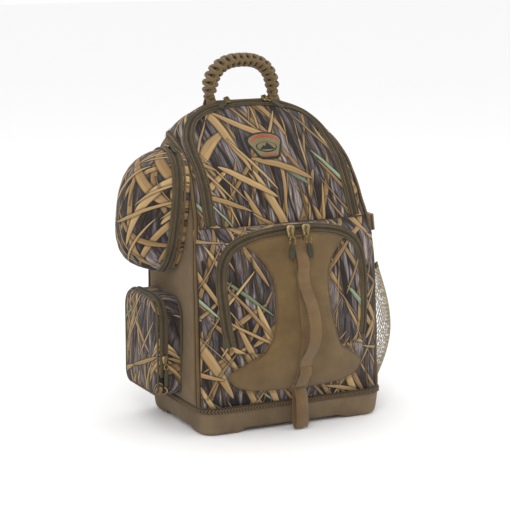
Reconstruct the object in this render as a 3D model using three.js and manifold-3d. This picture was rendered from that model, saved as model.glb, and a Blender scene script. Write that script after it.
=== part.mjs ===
// Tackle backpack: a camouflage day pack on a moulded base tub, with a U-zipped main
// compartment, a U-zipped front pocket, a domed hard case and a zipped accessory pocket on
// its left side, a net pocket and a compression strap on its right side, a woven paracord
// carry handle, and shoulder straps on its back.
//
// Millimetres. +Z is up, the front of the pack faces -Y, +X is to the right seen from the
// front. The pack is drawn about the middle of its base tub, and the finished group is then
// moved so that the origin lies on the floor under the middle of its whole outline.
import * as THREE from 'three';
import { LoftGeometry } from 'three/addons/geometries/LoftGeometry.js';
import { mergeVertices } from 'three/addons/utils/BufferGeometryUtils.js';
import Module from 'manifold-3d';

const wasm = await Module();
wasm.setup();

// ---------------------------------------------------------------- driving dimensions
const GAP = 0.3;                 // clearance left between touching pieces
const WALL = 2.5;                // lined and padded fabric wall

const TUB_HALF_WIDTH = 158;
const TUB_FRONT = -104;
const TUB_REAR = 107;
const TUB_RIM = 35;
const TUB_FLOOR = 10;            // top of the tub's floor
const TUB_WALL = 3;
const TUB_CORNER = 26;
const FOOT_HEIGHT = 5.5;         // height of the arches between the four feet
const WELT_TOP = 43.7;
const WELT_WIDTH = 7;
const WALLS_BOTTOM = 44;         // the fabric walls stand on the welt

// Body sections: height, half width, front, rear, corner radius, and how far the front bows out.
const BODY = [
  [12, 150, -84, 104, 8, 2],
  [44, 157, -86, 105, 8, 2],
  [60, 158, -84, 106, 8, 2],
  [140, 157, -80, 107, 8, 2],
  [200, 156, -77, 107, 8, 2],
  [242, 155.5, -74, 107, 8, 2],
  [292, 152, -67, 107, 8, 2],
  [316, 149.5, -61, 107, 8, 2],
  [342, 145.5, -50, 106.5, 8, 3],
  [362, 143.5, -41, 106, 8, 4],
  [382, 141.5, -29, 106, 9, 5],
  [402, 139.5, -14, 105.5, 10, 6],
  [422, 137, 10, 105, 14, 10],
  [437, 132, 27, 104, 20, 15],
  [450, 124, 36, 103, 24, 15],
  [462, 112, 45, 101, 24, 12],
  [472, 97, 53, 99, 21, 8],
  [480, 78, 62, 97, 16, 5],
  [486, 58, 72, 95, 10, 2],
  [490, 36, 81, 93, 5, 0],
];
const BACK_SEAM = 99;            // side panels end here, the back wall starts

// The side panel's front and top edge, as depth and height, from the welt to the back.
const SIDE_EDGE = [
  [-84, 44], [-82, 60], [-78, 140], [-75, 200], [-72, 242], [-65, 292], [-57, 322],
  [-47, 342], [-38, 362], [-26, 382], [-11, 402], [15, 422], [45, 435], [73, 441], [108, 445],
];

// Zip line of the main flap, right half, as x and height, from its seam to its crown.
const MAIN_ZIP = [
  [124.5, 318], [123.5, 342], [122.5, 362], [122, 382], [122.5, 402], [122, 422],
  [118, 441], [108, 458], [95, 469.5], [74, 479], [45, 484.5], [15, 486.6],
];
const MAIN_SEAM = 317;           // height of the main flap's hinge seam

// Front pocket: how far forward its middle stands, by height.
const POCKET_MIDDLE = [
  [44.3, -101], [60, -107], [80, -118], [100, -127], [125, -135], [150, -138], [180, -134],
  [210, -128], [240, -121], [270, -112], [300, -105], [316, -102],
];
const POCKET_HALF_WIDTH = 158;   // where its curve meets the side piping
const POCKET_POWER = 2.1;        // how its front rounds from the middle to the sides
const POCKET_CREASE = [[0, 314.5], [60, 312], [90, 306], [120, 298], [153, 292]];
const POCKET_TOP = 315.4;
const FRONT_ZIP = [
  [107, 128.5], [113, 140], [117, 160], [119, 180], [120.5, 200], [122, 220], [122, 240],
  [119.5, 262], [111, 280], [101, 290], [85, 299.5], [55, 307], [25, 310.6], [8, 311.3],
];
const FRONT_SEAM = 128;          // height of the front flap's fold

// Hourglass overlay of the front pocket, right half, as x and height.
const OVERLAY_UPPER = [
  [64, 128.8], [58, 140], [51, 160], [47, 180], [45, 200], [44.5, 220], [46, 240], [52, 260],
  [63, 280], [70, 290], [55, 296.5], [25, 300.5],
];
const OVERLAY_LOWER = [
  [70, 67], [92, 72], [103, 80], [110, 90], [113, 101], [98, 110], [80, 120], [66, 127.2],
];

const STRIP_HALF_WIDTH = 10;     // centre webbing, 20 mm wide
const WEB = 1.6;                 // webbing thickness

const BACK_PAD = { halfWidth: 84, bottom: 62, top: 398, depth: 13 };

// Left side hard case: an oval case standing on the upper side panel.
const CASE = { centre: [-147.3, 20, 333], lean: 6, halfWidth: 56, halfHeight: 93 };
const CASE_SPLIT = 20;           // depth of its back shell

// Left side accessory pocket, as depth (y) and height.
const POUCH = { front: -31, rear: 98, bottom: 52, top: 204, depth: 31, topRadius: 32, lowRadius: 18 };

// Right side net pocket: height and how far it bows out from the side panel.
const NET = [[45, 6], [60, 20], [90, 40], [125, 50], [165, 47], [205, 36], [240, 24]];

const HANDLE = { halfSpan: 56, y: 88, base: 497, rise: 64, width: 26, thickness: 16, neck: 0.46 };

// Shoulder strap centre line, right side, from its yoke to its lower end.
const STRAP_PATH = [
  [50, 118, 428], [56, 137, 410], [64, 155, 380], [72, 165, 340], [79, 167, 295], [85, 160, 250],
  [89, 146, 210], [92, 131, 178],
];

// ---------------------------------------------------------------- helpers
const pack = new THREE.Group();
const material = (color, roughness, metalness = 0) =>
  new THREE.MeshStandardMaterial({ color, roughness, metalness });
const CAMO = material(0x7d6c52, 0.9);
const CANVAS = material(0x6f5a38, 0.9);
const WEBBING = material(0x665539, 0.85);
const ZIP_TAPE = material(0x5a5238, 0.8);
const MOULDED = material(0x6e5f48, 0.75);
const LINING = material(0x4c4535, 0.9);
const BRASS = material(0x8c7b5e, 0.45, 0.8);
const RUBBER = material(0x5b5638, 0.7);
const PARACORD = material(0x54462e, 0.8);
const PLASTIC = material(0x4d4431, 0.55);
const NETTING = material(0x6b6046, 0.9);
const MESH_PAD = material(0x3e382c, 0.95);
const PATCH = material(0x6b6547, 0.8);

/** Turns a closed geometry into a manifold solid. */
function solid(geometry) {
  geometry.deleteAttribute('normal');
  geometry.deleteAttribute('uv');
  const merged = mergeVertices(geometry, 1e-4);
  return new wasm.Manifold(new wasm.Mesh({
    numProp: 3,
    vertProperties: new Float32Array(merged.attributes.position.array),
    triVerts: new Uint32Array(merged.index.array),
  }));
}

/** Turns a manifold solid back into a geometry. */
function geometryOf(body) {
  const mesh = body.getMesh();
  const geometry = new THREE.BufferGeometry();
  geometry.setAttribute('position', new THREE.BufferAttribute(mesh.vertProperties, 3));
  geometry.setIndex(new THREE.BufferAttribute(mesh.triVerts, 1));
  geometry.computeVertexNormals();
  return geometry;
}

/** Keeps the largest of the separate bodies that a cut leaves, and drops its trimmings. */
function largest(body) {
  const pieces = body.decompose().sort((a, b) => b.volume() - a.volume());
  return pieces[0];
}

/** Adds a named piece to the pack, or to the group given. */
function add(name, body, look, parent = pack) {
  const mesh = new THREE.Mesh(geometryOf(largest(body)), look);
  mesh.name = name;
  parent.add(mesh);
  return mesh;
}

/** Linear look-up in a list of [key, value...] rows. */
function lookUp(rows, key, column = 1) {
  let i = 1;
  while (i < rows.length - 1 && rows[i][0] < key) i += 1;
  const [a, b] = [rows[i - 1], rows[i]];
  const t = THREE.MathUtils.clamp((key - a[0]) / (b[0] - a[0]), 0, 1);
  return a[column] + t * (b[column] - a[column]);
}

const mirrored = (half) => [
  ...half,
  ...half.slice().reverse().map(([x, z]) => [-x, z]),
];

/** Moves an open or closed outline sideways, to its right-hand side by distance. */
function offsetLine(points, distance) {
  return points.map((point, i) => {
    const before = points[Math.max(i - 1, 0)];
    const after = points[Math.min(i + 1, points.length - 1)];
    const [dx, dy] = [after[0] - before[0], after[1] - before[1]];
    const length = Math.hypot(dx, dy);
    return [point[0] + (distance * dy) / length, point[1] - (distance * dx) / length];
  });
}

/** Extrudes an outline along Z. */
function prismZ(outline, low, high, holes = []) {
  const shape = new THREE.Shape(outline.map(([x, y]) => new THREE.Vector2(x, y)));
  shape.holes = holes.map((hole) => new THREE.Path(hole.map(([x, y]) => new THREE.Vector2(x, y))));
  const geometry = new THREE.ExtrudeGeometry(shape, { depth: high - low, bevelEnabled: false });
  return solid(geometry.translate(0, 0, low));
}

/** Extrudes an outline of [x, z] points along Y. */
function prismY(outline, near, far, holes = []) {
  const flip = (points) => points.map(([x, z]) => [x, -z]);
  const upright = new THREE.Matrix4().makeRotationX(-Math.PI / 2);
  const prism = prismZ(flip(outline), near, far, holes.map(flip));
  return solid(geometryOf(prism).applyMatrix4(upright));
}

/** Extrudes an outline of [y, z] points along X. */
function prismX(outline, near, far, holes = []) {
  const turn = new THREE.Matrix4().set(0, 0, 1, 0, 1, 0, 0, 0, 0, 1, 0, 0, 0, 0, 0, 1);
  return solid(geometryOf(prismZ(outline, near, far, holes)).applyMatrix4(turn));
}

/** A box between two corners. */
function box(low, high) {
  const size = high.map((value, i) => value - low[i]);
  const centre = high.map((value, i) => (value + low[i]) / 2);
  return solid(new THREE.BoxGeometry(...size).translate(...centre));
}

/** A closed loft through rings of [x, y, z] points. */
function loft(rings) {
  const sections = rings.map((ring) => ring.map((point) => new THREE.Vector3(...point)));
  const skin = new LoftGeometry(sections, { capStart: true, capEnd: true });
  return solid(new THREE.BufferGeometry().copy(skin));
}

/** A rectangle with round corners, counterclockwise, and its front bowed out by crown. */
function roundedRing(halfWidth, front, rear, radius, crown = 0, arcSteps = 3, edgeSteps = 5) {
  const corners = [
    [halfWidth - radius, front + radius, -Math.PI / 2],
    [halfWidth - radius, rear - radius, 0],
    [-halfWidth + radius, rear - radius, Math.PI / 2],
    [-halfWidth + radius, front + radius, Math.PI],
  ];
  const points = [];
  corners.forEach(([x, y, start], corner) => {
    for (let i = 0; i <= arcSteps; i += 1) {
      const angle = start + (i / arcSteps) * (Math.PI / 2);
      points.push([x + radius * Math.cos(angle), y + radius * Math.sin(angle)]);
    }
    if (corner === 3) {
      for (let i = 1; i < edgeSteps; i += 1) {
        const along = (2 * i) / edgeSteps - 1;
        points.push([along * (halfWidth - radius), front - crown * (1 - along * along)]);
      }
    }
  });
  return points;
}

/** Pushes every face of a closed solid out by distance. */
function grow(body, distance) {
  const geometry = geometryOf(body);
  const position = geometry.attributes.position;
  const index = geometry.index.array;
  const normals = Array.from({ length: position.count }, () => []);
  const corner = [0, 1, 2].map(() => new THREE.Vector3());
  for (let face = 0; face < index.length; face += 3) {
    corner.forEach((point, k) => point.fromBufferAttribute(position, index[face + k]));
    const normal = new THREE.Triangle(...corner).getNormal(new THREE.Vector3());
    for (let k = 0; k < 3; k += 1) {
      const others = [corner[(k + 1) % 3], corner[(k + 2) % 3]].map((o) => o.clone().sub(corner[k]));
      normals[index[face + k]].push([normal, others[0].angleTo(others[1])]);
    }
  }
  const moved = new Float32Array(position.array);
  normals.forEach((list, vertex) => {
    const mean = new THREE.Vector3();
    list.forEach(([normal, weight]) => mean.addScaledVector(normal, weight));
    mean.normalize();
    let total = 0;
    let spread = 0;
    list.forEach(([normal, weight]) => {
      total += weight;
      spread += weight * Math.max(normal.dot(mean), 0.2);
    });
    const step = (distance * total) / spread;
    moved[3 * vertex] += mean.x * step;
    moved[3 * vertex + 1] += mean.y * step;
    moved[3 * vertex + 2] += mean.z * step;
  });
  geometry.setAttribute('position', new THREE.BufferAttribute(moved, 3));
  return solid(geometry);
}

/** Moves a solid by a matrix. */
const moved = (body, matrix) => solid(geometryOf(body).applyMatrix4(matrix));

// ---------------------------------------------------------------- moulded base
const tubRing = (z, inset) =>
  roundedRing(TUB_HALF_WIDTH - inset, TUB_FRONT + inset, TUB_REAR - inset, TUB_CORNER - inset / 2)
    .map(([x, y]) => [x, y, z]);
const tubOuter = loft([tubRing(0, 8), tubRing(4, 4), tubRing(14, 2), tubRing(TUB_RIM, 0)]);
const tubInner = loft([tubRing(TUB_FLOOR, TUB_WALL + 3), tubRing(TUB_RIM + 5, TUB_WALL)]);
const ARCH_HALF = 84;
const ARCH_RAMP = 9;
const archOutline = [
  [-ARCH_HALF - ARCH_RAMP, -1], [ARCH_HALF + ARCH_RAMP, -1],
  [ARCH_HALF, FOOT_HEIGHT], [-ARCH_HALF, FOOT_HEIGHT],
];
const sideArch = archOutline.map(([x, z]) => [x * 0.55, z]);
add('base_tub', tubOuter.subtract(tubInner)
  .subtract(prismY(archOutline, -150, 150))
  .subtract(prismX(sideArch, -200, 200)), MOULDED);

const weltOuter = roundedRing(TUB_HALF_WIDTH + 1.5, TUB_FRONT - 1.5, TUB_REAR + 1.5, TUB_CORNER + 1);
const weltInner = roundedRing(
  TUB_HALF_WIDTH - WELT_WIDTH, TUB_FRONT + WELT_WIDTH, TUB_REAR - WELT_WIDTH, TUB_CORNER - WELT_WIDTH,
);
add('base_welt', prismZ(weltOuter, TUB_RIM + GAP, WELT_TOP, [weltInner]), ZIP_TAPE);

// ---------------------------------------------------------------- body shell and its panels
const bodySolid = loft(BODY.map(([z, halfWidth, front, rear, radius, crown]) =>
  roundedRing(halfWidth, front, rear, radius, crown, 2, 6).map(([x, y]) => [x, y, z])));
const shell = bodySolid.subtract(grow(bodySolid, -WALL));

function sideRegion(inset) {
  const edge = offsetLine(SIDE_EDGE, inset).slice(1, -1);
  const [foot, top] = [SIDE_EDGE[0], SIDE_EDGE[SIDE_EDGE.length - 1]];
  const rear = BACK_SEAM - GAP;
  return prismX([
    [foot[0] + inset, WALLS_BOTTOM + GAP], ...edge, [rear, top[1] - inset - 1], [rear, WALLS_BOTTOM + GAP],
  ].reverse(), -200, 200);
}
const sideCut = sideRegion(GAP / 2);
const SIDE_DEPTH = 5;            // the side panels are cut from the outermost skin only
const flank = BODY.filter(([z]) => z < 450).map(([z, halfWidth]) => [halfWidth - SIDE_DEPTH, z]);
const outside = (sign) => prismY(
  [...flank, [200, 440], [200, 12]].map(([x, z]) => [x * sign, z]), -200, 200,
);
for (const [name, sign] of [['left', -1], ['right', 1]]) {
  add(`side_panel_${name}`, shell.intersect(sideCut).intersect(outside(sign)), CANVAS);
}

add('back_wall', shell.intersect(box([-200, BACK_SEAM, WALLS_BOTTOM + GAP], [200, 200, 600])), CANVAS);
add('frame_sheet', prismY(
  roundedRing(118, 50, 412, 30).map(([x, z]) => [x, z]), 100.6, 102.4,
), PLASTIC);

const DIVIDER_FOOT = 144;        // half width of the divider inside the tub
const mainArch = mirrored(MAIN_ZIP);
const archRegion = (distance) => {
  const line = offsetLine(mainArch, distance);
  return prismY([[line[0][0], MAIN_SEAM - 0.7 - (distance > 0 ? 0 : -1)], ...line,
    [line[line.length - 1][0], MAIN_SEAM - 0.7 - (distance > 0 ? 0 : -1)]], -150, 84);
};
const frontHalf = shell.intersect(box([-200, -200, 0], [200, BACK_SEAM - GAP, 600]));
const withoutSides = frontHalf.subtract(sideRegion(-GAP / 2).intersect(
  outside(1).add(outside(-1)),
));
add('upper_gusset', withoutSides.intersect(box([-200, -200, MAIN_SEAM - 0.6], [200, 200, 600]))
  .subtract(archRegion(GAP)), CAMO);
add('divider_wall', withoutSides.intersect(box([-200, -200, TUB_FLOOR + 4], [200, 0, MAIN_SEAM - 1]))
  .subtract(box([-200, -200, 0], [-DIVIDER_FOOT, 0, WALLS_BOTTOM + GAP]))
  .subtract(box([DIVIDER_FOOT, -200, 0], [200, 0, WALLS_BOTTOM + GAP])), LINING);
add('main_flap', frontHalf.intersect(archRegion(-GAP)), CAMO);

// Zipper halves lie as a band on the outside of the shell.
const bodyBand = grow(bodySolid, 2.8).subtract(grow(bodySolid, GAP));
const band = (line, near, far, low, high) => prismY(
  [...offsetLine(line, near), ...offsetLine(line, far).reverse()], low, high,
);
add('main_zip_fixed', bodyBand.intersect(band(mainArch, 0.4, 8, -150, 79)), ZIP_TAPE);
add('main_zip_moving', bodyBand.intersect(band(mainArch, -8, -0.4, -150, 79)), ZIP_TAPE);

const badge = [[-27, 425], [-22, 437], [-10, 443], [10, 443], [22, 437], [27, 425], [15, 409], [-15, 409]];
const badgeSkin = grow(bodySolid, 1.8).subtract(grow(bodySolid, GAP));
add('badge_patch', badgeSkin.intersect(prismY(badge, -150, 79)), PATCH);

// ---------------------------------------------------------------- front pocket
/** One upright section of the front pocket, its front and top moved out by out. */
function pocketSection(x, out, back) {
  const share = Math.abs(x / POCKET_HALF_WIDTH) ** POCKET_POWER;
  const crease = lookUp(POCKET_CREASE, Math.abs(x));
  const bottom = WALLS_BOTTOM + GAP - Math.min(out, 0);
  const front = (z) => {
    const middle = lookUp(POCKET_MIDDLE, z);
    const side = lookUp(BODY, z, 2) - 1;
    return middle + (side - middle) * share - out * 1.15;
  };
  const heights = [bottom, 62, 82, 104, 127, 150, 180, 210, 240, 268];
  const backAt = (z) => lookUp(BODY, z, 2) - lookUp(BODY, z, 5) * (1 - share) - GAP - 0.6 + back;
  const top = POCKET_TOP + out;
  const points = heights.map((z) => [x, front(z), z]);
  points.push([x, Math.min(front(crease) + 1.5, backAt(crease) - back - 1.6), crease - 4 + out]);
  points.push([x, Math.min(front(crease) + 6, backAt(crease) - back - 1), crease + out]);
  points.push([x, backAt(top) - back, top]);
  if (back) points.push([x, backAt(top), top]);
  heights.slice().reverse().forEach((z) => points.push([x, backAt(z), z]));
  return points.reverse();
}
const pocketStations = [0, 16, 40, 65, 90, 110, 128, 142, 153];
function pocketLoft(out, back = 0, widest = 153) {
  const half = pocketStations.map((x) => Math.min(x, widest - (153 - x) * 0.2));
  const stations = [...half.slice(1).reverse().map((x) => -x), ...half];
  return loft(stations.map((x) => pocketSection(x, out, back)));
}
const pocketSolid = pocketLoft(0);
const pocketShell = pocketSolid.subtract(pocketLoft(-WALL, 8, 146));
const frontArch = mirrored(FRONT_ZIP);
const frontRegion = (distance) => {
  const line = offsetLine(frontArch, distance);
  const foot = FRONT_SEAM + (distance > 0 ? 0 : 0.8);
  return prismY([[line[0][0], foot], ...line, [line[line.length - 1][0], foot]], -220, -50);
};
add('front_pocket_gusset', pocketShell.subtract(frontRegion(GAP)), CAMO);
add('front_pocket_flap', pocketShell.intersect(frontRegion(-GAP)), CAMO);

const pocketBand = pocketLoft(2.8).subtract(pocketLoft(GAP, 60));
const pocketSkin = pocketLoft(1.5).subtract(pocketLoft(GAP, 60));
const stripSkin = pocketLoft(3.2).subtract(pocketLoft(1.8, 60));
add('front_zip_fixed', pocketBand.intersect(band(frontArch.slice(1, -1), 0.4, 7, -220, -82)), ZIP_TAPE);
add('front_zip_moving', pocketBand.intersect(band(frontArch.slice(1, -1), -7, -0.4, -220, -70)), ZIP_TAPE);
add('overlay_upper', pocketSkin.intersect(prismY(mirrored(OVERLAY_UPPER), -220, -70)), CANVAS);
add('overlay_lower', pocketSkin.intersect(prismY(mirrored(OVERLAY_LOWER), -220, -70)), CANVAS);
const stripRegion = (low, high) => box([-STRIP_HALF_WIDTH, -220, low], [STRIP_HALF_WIDTH, -70, high]);
add('web_strip_upper', stripSkin.intersect(stripRegion(129, 298)), WEBBING);
const tailSkin = pocketLoft(5.4).subtract(pocketLoft(1.8, 60));
add('web_strip_lower', tailSkin.intersect(stripRegion(70, 127)), WEBBING);

/** A flat strap across X, following a [y, z] path. */
function ribbon(path, thickness, halfWidth, centre = 0) {
  const outline = [...offsetLine(path, thickness / 2), ...offsetLine(path, -thickness / 2).reverse()];
  return prismX(outline, centre - halfWidth, centre + halfWidth);
}
const looseStrap = [
  [-110.6, 298], [-113.4, 290], [-119, 276], [-124, 262], [-127, 250], [-131, 236], [-142, 218],
  [-154, 200], [-162, 182], [-162, 164], [-155, 148], [-146, 136], [-143.4, 130],
];
add('loose_strap', ribbon(looseStrap, WEB, STRIP_HALF_WIDTH - 0.5), WEBBING);
const loopPath = [
  [-113.2, 64], [-112.8, 50], [-112.4, 30], [-113.4, 14], [-116.5, 5], [-121, 2.2], [-126, 4.6], [-128.4, 14],
  [-127.4, 34], [-125, 50], [-121, 60], [-116.4, 65.6],
];
add('bottom_web_loop', ribbon(loopPath, WEB, 8.5), WEBBING);

// ---------------------------------------------------------------- left side hard case
const caseGroup = new THREE.Group();
caseGroup.position.set(...CASE.centre);
caseGroup.rotation.y = THREE.MathUtils.degToRad(CASE.lean);
pack.add(caseGroup);
const OVAL_POWER = 2.5;
/** The case's outline at a depth, as [y, z] points, shrunk to share and grown by out. */
function ovalOutline(share, out, steps = 32) {
  return Array.from({ length: steps }, (_, i) => {
    const angle = (i / steps) * Math.PI * 2;
    const squircle = (value) => Math.sign(value) * Math.abs(value) ** (2 / OVAL_POWER);
    return [
      (CASE.halfWidth * share + out) * squircle(Math.cos(angle)),
      (CASE.halfHeight * share + out) * squircle(Math.sin(angle)),
    ];
  });
}
const ovalRing = (x, share, out) => ovalOutline(share, out).map(([y, z]) => [x, y, z]).reverse();
const caseBack = loft([ovalRing(-0.6, 0.97, 0), ovalRing(-6, 1, 0), ovalRing(-CASE_SPLIT, 1, 0)]);
const caseBackHollow = loft([ovalRing(-3, 0.97, -WALL), ovalRing(-CASE_SPLIT - 5, 1, -WALL)]);
add('case_back_shell', caseBack.subtract(caseBackHollow), CAMO, caseGroup);
const DOME = [[21, 1], [30, 1], [48, 0.985], [66, 0.89], [79, 0.7], [86, 0.48], [89, 0.25]];
const domeLoft = (out, start) => loft(DOME.map(([depth, share], i) =>
  ovalRing(i ? -depth - out : -start, share, out)));
const lidHollow = domeLoft(-WALL, CASE_SPLIT - 4);
add('case_lid', domeLoft(0, CASE_SPLIT + 0.9).subtract(lidHollow), CAMO, caseGroup);
const caseHinge = box([-60, CASE.halfWidth - 14, -60], [20, CASE.halfWidth + 20, 60]);
const caseBandRing = (low, high) => prismX(ovalOutline(1, 3), low, high, [ovalOutline(1, GAP)])
  .subtract(caseHinge);
add('case_zip_fixed', caseBandRing(-CASE_SPLIT - 0.1, -CASE_SPLIT + 4.5), ZIP_TAPE, caseGroup);
add('case_zip_moving', caseBandRing(-CASE_SPLIT - 5.3, -CASE_SPLIT - 0.8), ZIP_TAPE, caseGroup);

// ---------------------------------------------------------------- left side accessory pocket
/** The pocket's outline as [y, z] points, pulled in by inset. */
function pouchOutline(inset) {
  const [low, high] = [POUCH.bottom + inset, POUCH.top - inset];
  const [front, rear] = [POUCH.front + inset, POUCH.rear - inset];
  const corner = (cy, cz, radius, start) => Array.from({ length: 5 }, (_, i) => {
    const angle = start + (i / 4) * (Math.PI / 2);
    return [cy + radius * Math.cos(angle), cz + radius * Math.sin(angle)];
  });
  const top = Math.max(POUCH.topRadius - inset, 4);
  const bottom = Math.max(POUCH.lowRadius - inset, 4);
  return [
    ...corner(rear - bottom, low + bottom, bottom, -Math.PI / 2),
    ...corner(rear - top, high - top, top, 0),
    ...corner(front + top, high - top, top, Math.PI / 2),
    ...corner(front + bottom, low + bottom, bottom, Math.PI),
  ];
}
const pouchBack = -POCKET_HALF_WIDTH - 0.6;
const pouchRing = (x, inset) => pouchOutline(inset).map(([y, z]) => [x, y, z]).reverse();
const pouchRim = pouchBack - POUCH.depth;
add('accessory_gusset', loft([pouchRing(pouchBack, 0), pouchRing(pouchRim, 0)])
  .subtract(loft([pouchRing(pouchBack - 2, WALL), pouchRing(pouchRim - 5, WALL)])), CAMO);
const pouchFace = [[0.9, 0], [6, 0.4], [10, 4], [12.6, 16]];
const pouchLid = (inset, shift) => loft(pouchFace.map(([depth, pull], i) =>
  pouchRing(pouchRim - (i ? depth - shift : depth - shift * 3), pull + inset)));
add('accessory_flap', pouchLid(0, 0).subtract(pouchLid(WALL, WALL)), CAMO);
const pouchBandRing = (low, high) => prismX(pouchOutline(-3), low, high, [pouchOutline(-GAP)])
  .subtract(box([-400, -100, 0], [0, 200, POUCH.bottom + 30]));
add('accessory_zip_fixed', pouchBandRing(pouchRim - 0.1, pouchRim + 4.5), ZIP_TAPE);
add('accessory_zip_moving', pouchBandRing(pouchRim - 5.4, pouchRim - 0.9), ZIP_TAPE);

// ---------------------------------------------------------------- right side net pocket
const NET_CENTRE = 12;
const NET_HALF = 84;
function netRing(z, bow, out, back) {
  const steps = 12;
  const wall = lookUp(BODY, z) + 0.6;
  const points = Array.from({ length: steps + 1 }, (_, i) => {
    const angle = -Math.PI / 2 + (i / steps) * Math.PI;
    return [
      wall + Math.max(bow + out, 1.5) * Math.cos(angle) ** 0.8 + 1.6,
      NET_CENTRE + (NET_HALF + out) * Math.sin(angle), z,
    ];
  });
  points.push([wall + back, NET_CENTRE + NET_HALF + out, z], [wall + back, NET_CENTRE - NET_HALF - out, z]);
  return points;
}
const netSolid = loft(NET.map(([z, bow]) => netRing(z, bow, 0, 0)));
const netInner = loft(NET.map(([z, bow], i) =>
  netRing(i ? z + (i === NET.length - 1 ? 5 : 0) : z + 2.5, bow + (i ? 0 : 3), -2, -4)));
const netTop = [[-72, 241], [-40, 228], [12, 219], [64, 226], [98, 238]];
const aboveHem = prismX([...netTop, [110, 260], [-90, 260]], 100, 260);
const netShell = netSolid.subtract(netInner);
add('net_pocket', netShell.subtract(aboveHem), NETTING);
const hemCut = prismX([
  ...netTop.map(([y, z]) => [y, z + 0.5]), ...netTop.slice().reverse().map(([y, z]) => [y, z + 7]),
], 100, 260);
add('net_hem', netShell.intersect(hemCut), WEBBING);

// ---------------------------------------------------------------- sliders and pulls
const zipPoint = (position, rotation) => {
  const group = new THREE.Group();
  group.position.set(...position);
  group.rotation.set(...rotation, 'XYZ');
  pack.add(group);
  return group;
};
/** A zip slider with its bridge, and its pull tab hanging down local -Z from a ring. */
function slider(name, position, rotation, pullLength, pullTilt = 0) {
  const group = zipPoint(position, rotation);
  const plate = box([-4.5, -4.2, -6], [4.5, -0.4, 6]);
  const bridge = box([-1.4, -6.6, -4.5], [1.4, -3.6, 3]);
  add(`${name}_slider`, plate.add(bridge), BRASS, group);
  const pull = new THREE.Group();
  pull.position.set(0, -7.2, -5.5);
  pull.rotation.y = pullTilt;
  group.add(pull);
  const ringHole = prismY(roundedRing(1.8, -7.4, -1.2, 1.5), -3, 3);
  const ring = prismY(roundedRing(4.4, -9.2, 0.6, 3.6), -1, 1).subtract(ringHole);
  const tab = prismY(roundedRing(3.6, -9 - pullLength, -8.4, 3.2), -1.5, 1.5);
  add(`${name}_pull`, ring.add(tab), RUBBER, pull);
}
const lean = THREE.MathUtils.degToRad;
slider('main_left', [-32, 73.2, 490.6], [lean(-60), 0, 0], 24);
slider('main_right', [34, 73.2, 490.6], [lean(-60), 0, 0], 24);
slider('front_left', [-16, -112.2, 311], [lean(-4), 0, 0], 20);
slider('front_right', [10, -112.2, 311], [lean(-4), 0, 0], 20);
slider('accessory', [pouchRim - 0.5, POUCH.front - 3.4, 112], [0, 0, 0], 26);

const caseSlider = new THREE.Group();
caseSlider.position.set(-CASE_SPLIT - 0.5, 0, CASE.halfHeight - 1);
caseSlider.rotation.set(lean(-90), 0, 0);
caseGroup.add(caseSlider);
add('case_slider', box([-4.5, -8.2, -6], [4.5, -4.4, 6]).add(box([-1.4, -10.4, -4.5], [1.4, -7.8, 3])),
  BRASS, caseSlider);
const casePull = new THREE.Group();
casePull.position.set(0, -11.6, -5);
casePull.rotation.set(lean(24), 0, 0);
caseSlider.add(casePull);
add('case_pull', prismY(roundedRing(3.6, -28, -0.5, 3.2), -0.8, 0.8), RUBBER, casePull);

// ---------------------------------------------------------------- carry handle
const handlePath = [];
const handleSteps = 14;
for (let i = 0; i <= handleSteps; i += 1) {
  const angle = (i / handleSteps) * Math.PI;
  const flat = (value) => Math.sign(value) * Math.abs(value) ** 0.8;
  handlePath.push([HANDLE.halfSpan * flat(Math.cos(angle)), HANDLE.base + HANDLE.rise * Math.abs(flat(Math.sin(angle)))]);
}
const handleRings = handlePath.map(([x, z], i) => {
  const before = handlePath[Math.max(i - 1, 0)];
  const after = handlePath[Math.min(i + 1, handleSteps)];
  const [dx, dz] = i === 0 || i === handleSteps ? [0, i ? -1 : 1] : [after[0] - before[0], after[1] - before[1]];
  const length = Math.hypot(dx, dz);
  const steps = 10;
  const full = i === 0 || i === handleSteps ? HANDLE.neck : 1;
  return Array.from({ length: steps }, (_, k) => {
    const angle = (k / steps) * Math.PI * 2;
    const across = (HANDLE.thickness / 2) * full * Math.cos(angle);
    const deep = (HANDLE.width / 2) * full * Math.sin(angle);
    return [x + (across * dz) / length, HANDLE.y + deep, z - (across * dx) / length];
  });
});
add('paracord_handle', loft(handleRings), PARACORD);

// ---------------------------------------------------------------- back pad and harness
const padRing = (y, inset) => roundedRing(BACK_PAD.halfWidth - inset, BACK_PAD.bottom + inset,
  BACK_PAD.top - inset, 28 - inset / 2).map(([x, z]) => [x, y, z]).reverse();
const padFace = 107.6;
add('back_pad', loft([padRing(padFace, 3), padRing(padFace + 5, 0), padRing(padFace + 10, 2),
  padRing(padFace + BACK_PAD.depth, 9)]), MESH_PAD);
add('strap_yoke', prismY([[-88, 404], [88, 404], [80, 446], [-80, 446]], padFace, padFace + 3.6), CANVAS);

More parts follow.
